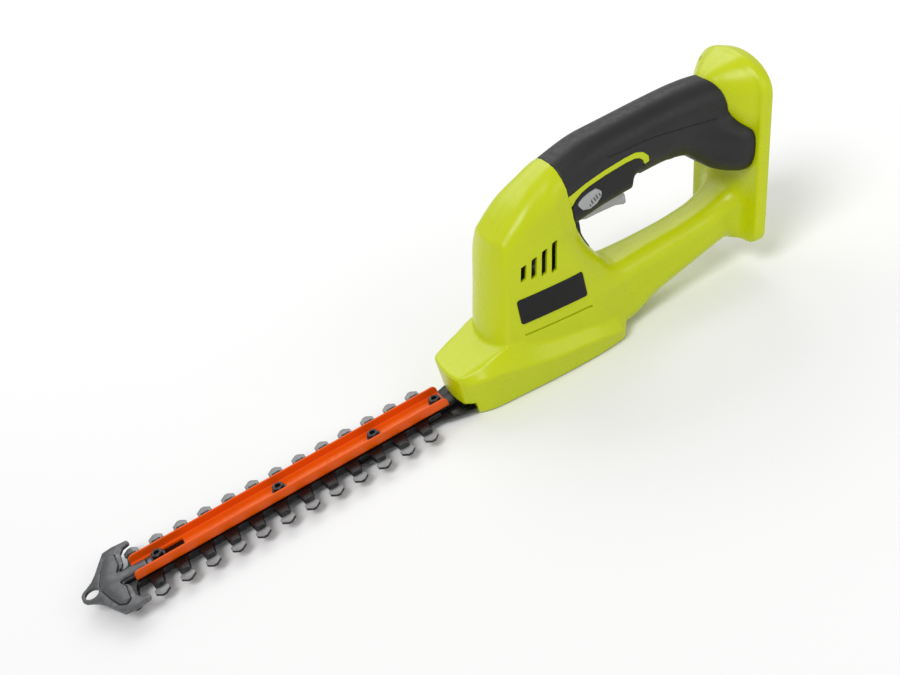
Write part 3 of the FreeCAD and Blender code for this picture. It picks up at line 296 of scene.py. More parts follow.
def mirrored(obj, name):
    """A copy reflected in the middle plane."""
    mesh = obj.data.copy()
    mesh.transform(Matrix.Scale(-1, 4, (0, 1, 0)))
    mesh.flip_normals()
    return thing(name, mesh)


def carve(obj, cutters, overlap=False):
    """Cut each tool away in turn and delete it; overlap allows for surfaces that cross themselves."""
    for cutter in cutters:
        modifier = obj.modifiers.new("cut", "BOOLEAN")
        modifier.operation = "DIFFERENCE"
        modifier.solver = "EXACT"
        modifier.use_self = overlap
        modifier.object = cutter
        shape = bpy.data.meshes.new_from_object(obj.evaluated_get(bpy.context.evaluated_depsgraph_get()))
        obj.modifiers.clear()
        old = obj.data
        obj.data = shape
        bpy.data.meshes.remove(old)
        bpy.data.objects.remove(cutter)
    return obj


def finished(work, name):
    """Turn a working mesh into an object."""
    mesh = bpy.data.meshes.new(name)
    work.to_mesh(mesh)
    work.free()
    return thing(name, mesh)


def joined(objects, name):
    """Put several meshes into one object."""
    work = bmesh.new()
    for obj in objects:
        work.from_mesh(obj.data)
        bpy.data.objects.remove(obj)
    return finished(work, name)


# ---- meshes from outlines ----
def turned_corners(points, radii, steps=4):
    """Round the corners of a polygon."""
    points = [Vector(point) for point in points]
    if not hasattr(radii, "__len__"):
        radii = [radii] * len(points)
    result = []
    for i, (corner, radius) in enumerate(zip(points, radii)):
        before, after = points[i - 1] - corner, points[(i + 1) % len(points)] - corner
        half = before.angle(after) / 2
        if radius <= 0 or half > math.radians(88):
            result.append(tuple(corner))
            continue
        reach = min(radius / math.tan(half), 0.48 * before.length, 0.48 * after.length)
        radius = reach * math.tan(half)
        middle = corner + (before.normalized() + after.normalized()).normalized() * radius / math.sin(half)
        start = corner + before.normalized() * reach - middle
        end = corner + after.normalized() * reach - middle
        sweep = start.angle_signed(end)
        for step in range(steps + 1):
            turn = -sweep * step / steps
            c, s = math.cos(turn), math.sin(turn)
            result.append((middle.x + start.x * c - start.y * s, middle.y + start.x * s + start.y * c))
    return result


def area_of(loop):
    """Signed area, positive where the loop runs anticlockwise."""
    return sum(a[0] * b[1] - b[0] * a[1] for a, b in zip(loop, loop[1:] + loop[:1])) / 2


def rectangle(left, low, right, high):
    """Four corners, anticlockwise."""
    return [(left, low), (right, low), (right, high), (left, high)]


def both_sides(half):
    """Close an outline with its own reflection in the middle line."""
    return half + [(x, -y) for x, y in reversed(half)]


def inset(loop, distance):
    """Move a loop to its left, which is inwards for an outline and outwards for a hole."""
    result = []
    for i, point in enumerate(loop):
        before, after = Vector(loop[i - 1]), Vector(loop[(i + 1) % len(loop)])
        here = Vector(point)
        a, b = here - before, after - here
        if a.length < 1e-6 or b.length < 1e-6:
            result.append(tuple(here))
            continue
        a.normalize()
        b.normalize()
        normal = Vector((-a.y - b.y, a.x + b.x))
        scale = distance * 2 / max(normal.length_squared, 0.6)
        result.append(tuple(here + normal * scale))
    return result


def circle(x, y, radius, count=32):
    """A circle as an outline."""
    return [(x + radius * math.cos(2 * math.pi * i / count), y + radius * math.sin(2 * math.pi * i / count))
            for i in range(count)]


def from_above(a, b, height):
    """An outline seen from above, extruded upwards."""
    return a, b, height


def from_side(a, b, height):
    """An outline seen from the side, extruded across."""
    return a, height, b


def walls(work, rings):
    """Join rings of equal point count with four-sided faces."""
    count = len(rings[0])
    for lower, upper in zip(rings, rings[1:]):
        for i in range(count):
            work.faces.new((lower[i], lower[(i + 1) % count], upper[(i + 1) % count], upper[i]))


def plate(name, outline, holes, low, high, edge_low=0.3, edge_high=0.3, place=from_above):
    """An extruded outline with rounded rims; edge sizes may be (inwards, depth)."""
    loops = [outline if area_of(outline) > 0 else outline[::-1]]
    loops += [hole[::-1] if area_of(hole) > 0 else hole for hole in holes]
    edge_low = edge_low if hasattr(edge_low, "__len__") else (edge_low, edge_low)
    edge_high = edge_high if hasattr(edge_high, "__len__") else (edge_high, edge_high)
    levels = []
    for turn in (0, 45, 90):
        angle = math.radians(turn)
        levels.append((edge_low[0] * (1 - math.sin(angle)), low + edge_low[1] * (1 - math.cos(angle))))
    for turn in (90, 45, 0):
        angle = math.radians(turn)
        levels.append((edge_high[0] * (1 - math.sin(angle)), high - edge_high[1] * (1 - math.cos(angle))))
    work = bmesh.new()
    caps = {0: [], len(levels) - 1: []}
    for loop in loops:
        rings = []
        for shift, height in levels:
            rings.append([work.verts.new(Vector(place(a, b, height)) * MM) for a, b in inset(loop, shift)])
        walls(work, rings)
        for level in caps:
            ring = rings[level]
            caps[level] += [work.edges.get((here, after)) for here, after in zip(ring, ring[1:] + ring[:1])]
    for edges in caps.values():
        bmesh.ops.triangle_fill(work, edges=edges, use_beauty=True)
    bmesh.ops.recalc_face_normals(work, faces=work.faces)
    return finished(work, name)


def prism(outline, low, high, place=from_above):
    """A plain sharp-edged cutter."""
    work = bmesh.new()
    rings = []
    for height in (low, high):
        rings.append([work.verts.new(Vector(place(a, b, height)) * MM) for a, b in outline])
    walls(work, rings)
    for ring in rings:
        work.faces.new(ring)
    bmesh.ops.recalc_face_normals(work, faces=work.faces)
    return finished(work, "cutter")


def stack(name, rings):
    """A closed skin through rings of equal point count, each a list of places in millimetres."""
    work = bmesh.new()
    rows = [[work.verts.new(Vector(point) * MM) for point in ring] for ring in rings]
    walls(work, rows)
    caps = [work.faces.new(row) for row in (rows[0], rows[-1])]
    bmesh.ops.triangulate(work, faces=caps)
    bmesh.ops.recalc_face_normals(work, faces=work.faces)
    return finished(work, name)


def hexagon_radius(angle, across):
    """Radius of a hexagon with slightly softened corners."""
    step = (angle + math.pi / 6) % (math.pi / 3) - math.pi / 6
    return min(across / math.cos(step), across * 1.13)


def ring_points(x, z, radius, count=48):
    """One ring of an upright turned form; radius is a number or a function of the angle."""
    points = []
    for i in range(count):
        angle = 2 * math.pi * i / count
        reach = radius(angle) if callable(radius) else radius
        points.append((x + reach * math.cos(angle), reach * math.sin(angle), z))
    return points


def star(radius, depth):
    """Radius of a six-lobed socket."""
    return lambda angle: radius - depth * (0.5 - 0.5 * math.cos(6 * angle))


# ---- materials ----
def srgb(r, g, b):
    """A colour given as screen values from 0 to 255."""
    return [((c / 255) / 12.92 if c <= 10 else ((c / 255 + 0.055) / 1.055) ** 2.4) for c in (r, g, b)] + [1]


class Surface:
    """A procedural material: colour mottling, worn edges, painted shade in the hollows, roughness variation
    and fine relief.
    """

    def __init__(self, name, colour, rough, metal=0.0, specular=0.5, coat=0.0, coat_rough=0.1):
        self.material = bpy.data.materials.new(name)
        self.material.use_nodes = True
        self.tree = self.material.node_tree
        self.shader = self.tree.nodes["Principled BSDF"]
        self.shader.inputs["Base Color"].default_value = colour
        self.shader.inputs["Metallic"].default_value = metal
        self.shader.inputs["Roughness"].default_value = rough
        self.shader.inputs["Specular IOR Level"].default_value = specular
        self.shader.inputs["Coat Weight"].default_value = coat
        self.shader.inputs["Coat Roughness"].default_value = coat_rough
        self.where = self.node("ShaderNodeTexCoord").outputs["Object"]
        self.colour = None
        self.base = colour
        self.rough = rough
        self.bump = None

    def node(self, kind, **settings):
        node = self.tree.nodes.new(kind)
        for name, value in settings.items():
            setattr(node, name, value)
        return node

    def link(self, source, target):
        self.tree.links.new(source, target)

    def noise(self, size, detail=3.0, stretch=(1, 1, 1), rough=0.5):
        """A noise whose features are about size millimetres."""
        mapping = self.node("ShaderNodeMapping")
        mapping.inputs["Scale"].default_value = stretch
        self.link(self.where, mapping.inputs["Vector"])
        noise = self.node("ShaderNodeTexNoise")
        noise.inputs["Scale"].default_value = 1000 / size
        noise.inputs["Detail"].default_value = detail
        noise.inputs["Roughness"].default_value = rough
        self.link(mapping.outputs["Vector"], noise.inputs["Vector"])
        return noise.outputs["Fac"]

    def ramp(self, source, low, high, first=0.0, last=1.0):
        """Turn a value between low and high into one between first and last."""
        node = self.node("ShaderNodeMapRange")
        for key, value in (("From Min", low), ("From Max", high), ("To Min", first), ("To Max", last)):
            node.inputs[key].default_value = value
        self.link(source, node.inputs["Value"])
        return node.outputs["Result"]

    def times(self, a, b):
        """The product of two values, each a number or a node's output."""
        node = self.node("ShaderNodeMath", operation="MULTIPLY")
        for socket, value in zip(node.inputs, (a, b)):
            if isinstance(value, (int, float)):
                socket.default_value = value
            else:
                self.link(value, socket)
        return node.outputs[0]

    def tint(self, amount, colour):
        """Mix a colour over what is there, by an amount from another node."""
        mix = self.node("ShaderNodeMix", data_type="RGBA")
        self.link(amount, mix.inputs["Factor"])
        if self.colour is None:
            mix.inputs[6].default_value = self.base
        else:
            self.link(self.colour, mix.inputs[6])
        mix.inputs[7].default_value = colour
        self.colour = mix.outputs[2]
        self.link(self.colour, self.shader.inputs["Base Color"])
        return self

    def mottle(self, size, amount, colour):
        """Soft patches of another colour."""
        return self.tint(self.ramp(self.noise(size), 0.35, 0.7, 0, amount), colour)

    def gloss(self, size, spread, stretch=(1, 1, 1)):
        """Roughness that varies by spread either way."""
        noise = self.noise(size, stretch=stretch)
        value = self.ramp(noise, 0.3, 0.7, self.rough - spread, self.rough + spread)
        self.link(value, self.shader.inputs["Roughness"])
        return self

    def worn(self, colour, amount, start=0.53, full=0.6):
        """Paler or barer along exposed edges."""
        edge = self.ramp(self.node("ShaderNodeNewGeometry").outputs["Pointiness"], start, full)
        patchy = self.ramp(self.noise(3.0, 5), 0.4, 0.6, 0.2, 1)
        return self.tint(self.times(self.times(edge, patchy), amount), colour)

    def painted_hollow_shade(self, colour, amount, start=0.47, full=0.4):
        """Painted shade: darker in the hollows."""
        hollow = self.ramp(self.node("ShaderNodeNewGeometry").outputs["Pointiness"], start, full)
        return self.tint(self.times(hollow, amount), colour)

    def relief(self, size, height, detail=2.0, stretch=(1, 1, 1)):
        """Fine bumps; size and height in millimetres."""
        bump = self.node("ShaderNodeBump")
        bump.inputs["Strength"].default_value = 1.0
        bump.inputs["Distance"].default_value = height * MM
        self.link(self.noise(size, detail, stretch), bump.inputs["Height"])
        if self.bump is not None:
            self.link(self.bump, bump.inputs["Normal"])
        self.bump = bump.outputs["Normal"]
        self.link(self.bump, self.shader.inputs["Normal"])
        return self


# the green's darker colour in the hollows is painted shade
GREEN = (Surface("green_plastic", srgb(190, 202, 2), 0.3, specular=0.35)
         .mottle(45, 0.3, srgb(180, 193, 1)).worn(srgb(226, 234, 100), 0.3, 0.57, 0.68)
         .painted_hollow_shade(srgb(120, 130, 2), 0.3, 0.43, 0.33).gloss(6, 0.05).relief(0.5, 0.01).relief(14, 0.03))
RUBBER_SKIN = (Surface("grip_rubber", srgb(27, 27, 29), 0.48, specular=0.4)
               .mottle(25, 0.5, srgb(20, 20, 22)).worn(srgb(74, 74, 76), 0.4)
               .gloss(4, 0.07).relief(0.45, 0.025).relief(1.6, 0.02))
BLACK = (Surface("black_plastic", srgb(16, 16, 17), 0.4, specular=0.35)
         .mottle(15, 0.4, srgb(10, 10, 11)).worn(srgb(66, 66, 68), 0.3)
         .gloss(3, 0.06).relief(0.4, 0.012))
# the orange's darker colour in the hollows is painted shade
ORANGE = (Surface("channel_orange", srgb(230, 88, 0), 0.36, specular=0.3)
          .mottle(30, 0.4, srgb(214, 74, 0)).worn(srgb(250, 158, 80), 0.5)
          .painted_hollow_shade(srgb(150, 46, 0), 0.4).gloss(5, 0.05).relief(0.9, 0.008).relief(6, 0.012))
# the guard's near-black in the hollows and grooves is painted shade
GUARD = (Surface("guard_grey", srgb(84, 85, 87), 0.36, metal=0.45)
         .mottle(18, 0.5, srgb(66, 67, 69)).worn(srgb(160, 161, 163), 0.6)
         .painted_hollow_shade(srgb(22, 22, 24), 0.8).gloss(4, 0.08).relief(0.7, 0.018))
OXIDE = (Surface("blade_black", srgb(12, 12, 13), 0.3, metal=0.05, specular=0.3)
         .mottle(8, 0.5, srgb(9, 9, 10)).worn(srgb(96, 97, 99), 0.6)
         .gloss(2.5, 0.07).relief(0.6, 0.01).relief(0.35, 0.006, stretch=(0.15, 1, 1)))
GROUND = (Surface("blade_ground", srgb(136, 137, 138), 0.42, metal=0.4)
          .mottle(5, 0.4, srgb(116, 117, 119)).worn(srgb(180, 181, 183), 0.3)
          .gloss(1.5, 0.08).relief(0.3, 0.008, stretch=(1, 0.12, 1)))
BOLT = (Surface("bolt_black", srgb(20, 21, 23), 0.32, metal=0.3, specular=0.4)
        .mottle(3, 0.5, srgb(16, 16, 18)).worn(srgb(130, 131, 134), 0.6)
        .gloss(1.5, 0.08).relief(0.5, 0.01))
# the button's dark grey in the hollows and slots is painted shade
BUTTON = (Surface("trigger_grey", srgb(160, 161, 162), 0.4)
          .mottle(10, 0.4, srgb(146, 147, 148)).worn(srgb(205, 206, 206), 0.4)
          .painted_hollow_shade(srgb(70, 70, 72), 0.6).gloss(3, 0.05).relief(0.4, 0.012))
BADGE = (Surface("badge_black", srgb(8, 8, 9), 0.16, specular=0.3)
         .mottle(12, 0.4, srgb(5, 5, 6)).worn(srgb(60, 60, 64), 0.3).gloss(8, 0.04).relief(5, 0.006))
STEEL = (Surface("screw_steel", srgb(120, 121, 124), 0.35, metal=0.95)
         .mottle(3, 0.4, srgb(84, 85, 88)).worn(srgb(200, 200, 204), 0.5)
         .gloss(1.2, 0.1).relief(0.3, 0.008))
GEAR = (Surface("gear_steel", srgb(150, 150, 152), 0.38, metal=0.95)
        .mottle(5, 0.4, srgb(96, 92, 84)).gloss(2, 0.1).relief(0.4, 0.01))
CASTING = (Surface("case_aluminium", srgb(165, 166, 168), 0.52, metal=0.9)
           .mottle(6, 0.4, srgb(132, 133, 136)).gloss(2, 0.1).relief(0.8, 0.04))
MOTOR = (Surface("motor_steel", srgb(140, 142, 146), 0.36, metal=0.9)
         .mottle(12, 0.4, srgb(110, 112, 116)).gloss(3, 0.08).relief(0.5, 0.01, stretch=(1, 1, 0.2)))
BRONZE = (Surface("bush_bronze", srgb(176, 128, 70), 0.4, metal=0.9)
          .mottle(2, 0.5, srgb(130, 88, 44)).gloss(1, 0.1).relief(0.3, 0.015))
FERRITE = (Surface("magnet_ferrite", srgb(52, 50, 50), 0.7)
           .mottle(4, 0.5, srgb(38, 36, 36)).gloss(2, 0.08).relief(0.5, 0.03))
COPPER = (Surface("copper_wire", srgb(184, 98, 52), 0.32, metal=0.95)
          .mottle(3, 0.5, srgb(140, 66, 32)).gloss(1, 0.08).relief(0.6, 0.05, stretch=(1, 1, 0.2)))
BRASS = (Surface("contact_brass", srgb(206, 170, 92), 0.28, metal=0.95)
         .mottle(3, 0.4, srgb(160, 126, 60)).gloss(1, 0.08).relief(0.3, 0.006))
LEAD = (Surface("lead_insulation", srgb(150, 20, 18), 0.5)
        .mottle(6, 0.4, srgb(110, 12, 12)).gloss(2, 0.08).relief(0.5, 0.02))

# the CAD nodes that stay as they are
NODE_LOOKS = (
    (GEAR, ("crank_gear", "crank_shaft", "upper_eccentric", "lower_eccentric", "upper_rod", "lower_rod",
            "motor_pinion")),
    (STEEL, ("upper_rod_pin", "lower_rod_pin", "motor_shaft", "trigger_pin", "blade_spacers",
             "cover_screws", "bracket_screws", "housing_screws")),
    (BRONZE, ("upper_crank_bush", "lower_crank_bush")),
    (CASTING, ("gear_case",)),
    (MOTOR, ("motor_can",)),
    (BLACK, ("motor_end_cap", "motor_fan", "terminal_block", "switch_body")),
    (FERRITE, ("motor_magnets", "motor_brushes")),
    (COPPER, ("rotor_core",)),
    (BRASS, ("commutator", "battery_contacts")),
    (LEAD, ("battery_leads", "motor_leads")),
    (BUTTON, ("switch_plunger",)),
    (BOLT, ("blade_nuts",)),
)
for look, node_names in NODE_LOOKS:
    for node_name in node_names:
        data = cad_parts[node_name].data
        data.materials.clear()
        data.materials.append(look.material)


def piece(obj, name, look, body, nodes, angle=35):
    """Name, paint and shade a finished piece, and tie it to its CAD body."""
    obj.name = name
    obj.data.name = name
    obj.data.materials.clear()
    obj.data.materials.append(look.material)
    obj.data.shade_smooth()
    obj.data.set_sharp_from_angle(angle=math.radians(angle))
    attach(obj, body)
    if nodes:
        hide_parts(*nodes)


# ---- green housing, rubber grip ----
# the space that is meshed for the right half of the shell, and of the rubber
SHELL_SPACE = (-55, -2.5, -10.5), (225, 42, 153)
RUBBER_SPACE = (59, -2.5, 68), (219, 40, 149)
# upper and lower edge of the green strip over the trigger frame: x, z
STRIP_TOP = ((61.6, 119.4), (76, 122.3), (92, 124), (108, 124.8), (117, 124.6), (122.6, 122.2), (126, 118),
             (126.2, 113.2))
STRIP_LOW = ((61.2, 104), (62.3, 110.2), (66.4, 114.7), (72, 117.5), (78, 118.8), (92, 120.1), (108, 120.8),
             (115.5, 120.4), (119, 118.9), (121.3, 116.2), (121.8, 112.4))
# trigger frame, as a tube along x
SURROUND = ((61.2, 130, 95, 21.4, 9), (72.5, 130, 95.8, 20.6, 9), (90, 130, 97.2, 20, 9),
            (104, 130, 97.7, 19.9, 9), (109.5, 130, 97.7, 19.8, 9), (112, 130, 103, 19.8, 8),
            (114.5, 130, 105.7, 19.7, 8), (118.5, 130, 106.4, 19.6, 8), (121.8, 130, 105, 19.5, 8))
BADGE_MIDDLE, BADGE_HALF, BADGE_LEAN = (29.3, 59.1), (25.7, 9.3), math.radians(-5)
BADGE_PROUD = 0.8
SOCKET_MID, SOCKET_HALF, SOCKET_HEIGHT, SOCKET_DEPTH, SOCKET_CORNER = 72, 17.4, 20, 32, 3
SOCKET_ROOM = 0.2
COVER_CORNER, COVER_ROOM = 5, 0.25
HEAD_RADIUS = 3.3


def vent_outlines():
    """Four leaning air slots, each a little taller than the one before."""
    slots = []
    for number in range(4):
        top_x, top_z = 14.8 + 8.6 * number, 91.2 + 1.7 * number
        low_x, low_z = 11.2 + 7.5 * number, 81.4 - 1.6 * number
        corners = [(low_x, low_z), (low_x + 4.6, low_z + 0.8), (top_x + 4.6, top_z + 0.8), (top_x, top_z)]
        slots.append(turned_corners(corners, 0.8))
    return slots


def across_at(field, x, z):
    """How far out a field's surface is at a place of the side view."""
    low, high = 0.0, CLEAR
    for _ in range(30):
        middle = (low + high) / 2
        if field(np.array([x]), np.array([middle]), np.array([z]))[0] < 0:
            low = middle
        else:
            high = middle
    return low


def scored(field, line, radius, lift, count=40):
    """A thin round tool laid along a line on the side of a field's surface."""
    rings = []
    for x in np.linspace(line[0][0], line[-1][0], count):
        z = float(np.interp(x, *zip(*line)))
        y = across_at(field, x, z) + lift
        turns = [2 * math.pi * i / 10 for i in range(10)]
        rings.append([(x, y + radius * math.cos(a), z + radius * math.sin(a)) for a in turns])
    return stack("cutter", rings)


def socket_outline(wider, corner=SOCKET_CORNER):
    """The battery well's mouth on the foot's back, made wider all round."""
    half, height = SOCKET_HALF + wider, SOCKET_HEIGHT + wider
    return turned_corners(rectangle(-half, SOCKET_MID - height, half, SOCKET_MID + height), corner)


def cover_outline(gap=0.0):
    """The bottom cover from above, with its corners cut off."""
    low, high = box_mm("base_cover")
    side = [(low.x - gap, COVER_CORNER), (low.x + COVER_CORNER, 0), (high.x - COVER_CORNER, 0),
            (high.x + gap, COVER_CORNER)]
    return both_sides([(x, low.y - gap + y) for x, y in side])


def screw_heads(screws):
    """One tool that makes room for the housing screws' heads, from the right."""
    return joined([prism(circle(x, z, HEAD_RADIUS), 10, CLEAR, from_side) for x, z in screws], "cutter")


def rubber_field(x, y, z):
    """The rubber skin, which stops where the green moulding comes through it."""
    outer = grip_field(x, y, z)
    skin = np.maximum(outer, -(outer + RUBBER))
    skin = smax(skin, RUBBER_START - x, 0.8)
    skin = np.maximum(skin, foot_frame(x, z)[1] - RUBBER_DEEP)
    return smax(skin, 0.15 - foot_field(x, y, z), 1.0)


def beyond(line, x, z):
    """Distance outside the space to the right of a line that turns one way all along."""
    region = 0 * x - FAR
    for start, end in zip(line, line[1:]):
        region = np.maximum(region, plane_between(x, z, start, end))
    return region


def surround_field(x, y, z):
    """The black frame round the trigger, which ends under the green strip."""
    body = tube(SURROUND, x, y, z, 2)
    return smax(body, beyond(STRIP_LOW, x, z) + 0.12, 1.0)


def badge_field(x, y, z):
    """A thin leaning panel that lies on the motor housing's side."""
    dx, dz = x - BADGE_MIDDLE[0], z - BADGE_MIDDLE[1]
    u = dx * math.cos(BADGE_LEAN) + dz * math.sin(BADGE_LEAN)
    v = dz * math.cos(BADGE_LEAN) - dx * math.sin(BADGE_LEAN)
    panel = rounded_box(u, v, *BADGE_HALF, 2.2) + 0 * y
    outer = body_field(x, y, z)
    return np.maximum(smax(outer - BADGE_PROUD, panel, 0.9), -(outer + 0.6))


def leg_field(x, y, z):
    """The black skin on the tower's back, below the trigger."""
    outer = body_field(x, y, z)
    proud = np.interp(z, (73, 84, 90.5, 99), (0.4, 0.7, 2.4, 3.6))
    sheet = smax(outer - proud, rounded_box(y, z - 84, 12.5, 13, 2) + 0 * x, 0.8)
    return np.maximum(np.maximum(sheet, -(outer + 1.5)), 60 - x)


def pair(obj, name, look, left_nodes, right_nodes):
    """Finish a right-hand piece and its reflection on the left."""
    other = mirrored(obj, "left_" + name)
    piece(obj, "right_" + name, look, "chassis", right_nodes)
    piece(other, "left_" + name, look, "chassis", left_nodes)


shell = thing("shell", half_of(field_mesh("shell", shell_field, *SHELL_SPACE)))
trigger_room = [(122, 94.6), (61.6, 94.6), (61.6, 98)] + list(STRIP_LOW) + [(122, 112.4)]
shoe_line = (3.2, 43.4), (55.1, 38.4)
tools = [prism(outline, 8, CLEAR, from_side) for outline in vent_outlines()]
tools.append(prism(trigger_room, -5, CLEAR, from_side))
tools.append(prism(cover_outline(COVER_ROOM), -3, WALL + 0.4))
tools.append(prism(socket_outline(SOCKET_ROOM), FOOT_THICK - SOCKET_DEPTH - SOCKET_ROOM, 20, foot_place))
tools.append(scored(body_field, shoe_line, 0.9, -0.5))
carve(shell, [joined(tools, "cutter")])
left_shell = mirrored(shell, "left_shell")
carve(shell, [screw_heads(SCREWS)])
piece(shell, "right_shell", GREEN, "chassis", ["right_housing"])
piece(left_shell, "left_shell", GREEN, "chassis", ["left_housing"])

rubber = thing("rubber", half_of(field_mesh("rubber", rubber_field, *RUBBER_SPACE)))
window = [(61, 80)] + list(STRIP_TOP) + [(121.9, 112.3), (121.9, 100), (118, 80)]
grip_line = (97, 131), (133, 128.3), (181, 118.5)
tools = [prism(window, -5, CLEAR, from_side), scored(grip_field, grip_line, 0.55, 0.1, 60)]
carve(rubber, [joined(tools, "cutter")])
left_rubber = mirrored(rubber, "left_rubber")
carve(rubber, [screw_heads(SCREWS[5:])])
piece(rubber, "right_rubber", RUBBER_SKIN, "chassis", ["right_grip"])
piece(left_rubber, "left_rubber", RUBBER_SKIN, "chassis", ["left_grip"])


def strip_field(x, y, z):
    """The green strip between its two edges, as proud as the rubber."""
    top = beyond(STRIP_TOP + STRIP_LOW[-1:], x, z)
    inner = smax(top + 0.1, -beyond(STRIP_LOW, x, z), 0.6)
    return smax(np.maximum(inner, 61.7 - x), smax(grip_field(x, y, z) - 0.15, 12 - y, 0.5), 0.8)


strip = thing("strip", field_mesh("strip", strip_field, (60, 9, 103), (128, 24, 126), 0.5))
pair(strip, "strip", GREEN, [], [])
badge = thing("badge", field_mesh("badge", badge_field, (1, 15, 45), (59, 32, 73), FINE_STEP))
pair(badge, "panel", BADGE, ["left_badge"], ["right_badge"])

BUTTON_OUTLINE = turned_corners([(66.3, 111), (69.4, 105), (74.5, 103.4), (80.4, 104.6), (84.6, 107.6),
                                 (86.3, 111.2), (82.9, 115), (77.5, 114.8), (71.7, 113.7)], 2.0)
BUTTON_GAP = 0.3
half_mesh = half_of(field_mesh("surround", surround_field, (58, -2.5, 90), (124, 24, 124), FINE_STEP))
surround = thing("surround", half_mesh)
surround = joined([surround, mirrored(surround, "surround_left")], "surround")
mouth = turned_corners(rectangle(69.2, -9.1, 110.2, 9.1), 2.4)
room = rectangle(66.4, -10, 111, 10)
button_hole = inset(BUTTON_OUTLINE, -BUTTON_GAP)
carve(surround, [prism(mouth, 80, 98), prism(room, 97.6, 112), prism(button_hole, -40, 40, from_side)])
leg = thing("leg", field_mesh("leg", leg_field, (58, -15, 69), (80, 15, 99), FINE_STEP))
carve(leg, [prism(mouth, 88, 112)])
trigger_frame = joined([surround, leg], "surround")
piece(trigger_frame, "trigger_frame", BLACK, "chassis", ["trigger_surround"])

trigger_outline = turned_corners([(71, 92.6), (72.5, 90.3), (76, 89), (86, 88.6), (93, 88.1), (99.3, 87.5),
                                  (103, 86.2), (105.6, 85.1), (108, 85.9), (108.6, 91.6), (107.8, 94.4),
                                  (104, 95.2), (104, 106.4), (100, 107.2), (76, 104.4), (69, 103.6),
                                  (67, 101), (67.6, 97)], 1.6)
TRIGGER_HALF, TRIGGER_EDGE = 8.3, (1.6, 2.4)
lever = plate("lever", trigger_outline, [circle(71, 100, 2.1, 20)], -TRIGGER_HALF, TRIGGER_HALF,
              TRIGGER_EDGE, TRIGGER_EDGE, from_side)
piece(lever, "trigger_lever", BUTTON, "trigger_lever", ["trigger"])


def button_cap(sign):
    """One end of the cross button, with five leaning slots in its face."""
    def place(a, b, c):
        return a, sign * c, b

    ribs = []
    cap = plate("cap", BUTTON_OUTLINE, [], 14, 21.3, 0.2, (1.1, 0.9), place)
    for number, tall in enumerate((1.8, 3.2, 3.4, 3.4, 2.8)):
        x, z = 75.2 + 2.1 * number, 105.2 + 0.9 * number
        lean = 0.3 * tall
        rib = [(x, z), (x + 0.9, z + 0.2), (x + 0.9 - lean, z + tall), (x - lean, z + tall - 0.2)]
        ribs.append(prism(rib, 20.5, 23, place))
    return carve(cap, [joined(ribs, "cutter")])


crossbar = turned_corners(rectangle(74, 107.2, 80, 111.2), 0.5)
parts = [button_cap(-1), button_cap(1), plate("bar", crossbar, [], -15, 15, 0.2, 0.2, from_side)]
piece(joined(parts, "cap"), "cross_button", BUTTON, "lock_button", ["lock_off_button"], 30)


def coil_spring(x, radius, low, high, wire, turns=5, steps=24):
    """An upright coil of round wire on the middle plane."""
    rings = []
    for step in range(turns * steps + 1):
        angle = 2 * math.pi * step / steps
        height = low + (high - low) * step / (turns * steps)
        ring = []
        for side in range(8):
            turn = math.pi * side / 4
            reach = radius + wire * math.cos(turn)
            along, across = reach * math.cos(angle), reach * math.sin(angle)
            ring.append((x + along, across, height + wire * math.sin(turn)))
        rings.append(ring)
    return stack("spring", rings)


WIRE = 0.4
low, high = box_mm("trigger_spring")
coil_x = (low.x + high.x) / 2
spring = coil_spring(coil_x, (high.x - low.x) / 2 - WIRE, low.z + WIRE, high.z - WIRE, WIRE)
piece(spring, "return_spring", STEEL, "chassis", ["trigger_spring"])
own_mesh(spring)

# ---- bottom cover, battery socket ----
COVER_SCREWS = ((-23.5, -17.2), (-23.5, 17.2), (34, -17.2), (34, 17.2), (58, -15), (58, 15))
low, high = box_mm("base_cover")
holes = [circle(x, y, 3.2, 24) for x, y in COVER_SCREWS]
cover = plate("cover", turned_corners(cover_outline(), 1.5), holes, 0, high.z, 0.5, 0.2)
slits = [turned_corners(rectangle(x - 0.9, -13, x + 0.9, 13), 0.8) for x in range(-10, 46, 7)]
carve(cover, [joined([prism(slit, -1, 0.5) for slit in slits], "cutter")])
piece(cover, "bottom_cover", BLACK, "chassis", ["base_cover"])

deep = FOOT_THICK - SOCKET_DEPTH
slots = [rectangle(y - 0.7, 65, y + 0.7, 79) for y in (-8, 0, 8)]
well = socket_outline(0)
parts = [plate("rim", well, [socket_outline(-2, 1.6)], deep + 1.6, FOOT_THICK, 0.2, 0.6, foot_place),
         plate("floor", well, slots, deep, deep + 2, 0.2, 0.05, foot_place)]
for sign in (-1, 1):
    for rail_low, rail_high in ((57, 60.5), (83.5, 87)):
        rail = turned_corners(rectangle(sign * 13.4, rail_low, sign * 15.9, rail_high), 0.5)
        parts.append(plate("rail", rail, [], deep + 1, FOOT_THICK - 2, 0.1, 0.5, foot_place))
piece(joined(parts, "socket"), "battery_well", BLACK, "chassis", ["battery_socket"])

# ---- blades, bar, channel, guard ----
PITCH, TEETH, STROKE = 18, 13, 9
BLADE_TIP, BLADE_END, BLADE_HALF, TAIL_HALF = -304, -66, 10.5, 7
BOLTS = (-273.5, -185.3, -113, -64.5)
BOLT_HOLE, SLOT_HALF = 2.7, 3.8
# teeth: along the blade from the tooth's middle, out from the blade's middle, corner radius
STEM = ((4.9, 10.5, 3.2), (3.5, 22.8, 1.6), (-3.5, 22.8, 1.6), (-4.9, 10.5, 3.2))
PADDLE = ((4.9, 10.5, 3.0), (3.5, 22.6, 1.2), (5, 23.8, 0.4), (5, 26.9, 0.5), (1.2, 30.2, 0.5),
          (-1.2, 30.2, 0.5), (-5, 26.9, 0.5), (-5, 23.8, 0.4), (-3.5, 22.6, 1.2), (-4.9, 10.5, 3.0))


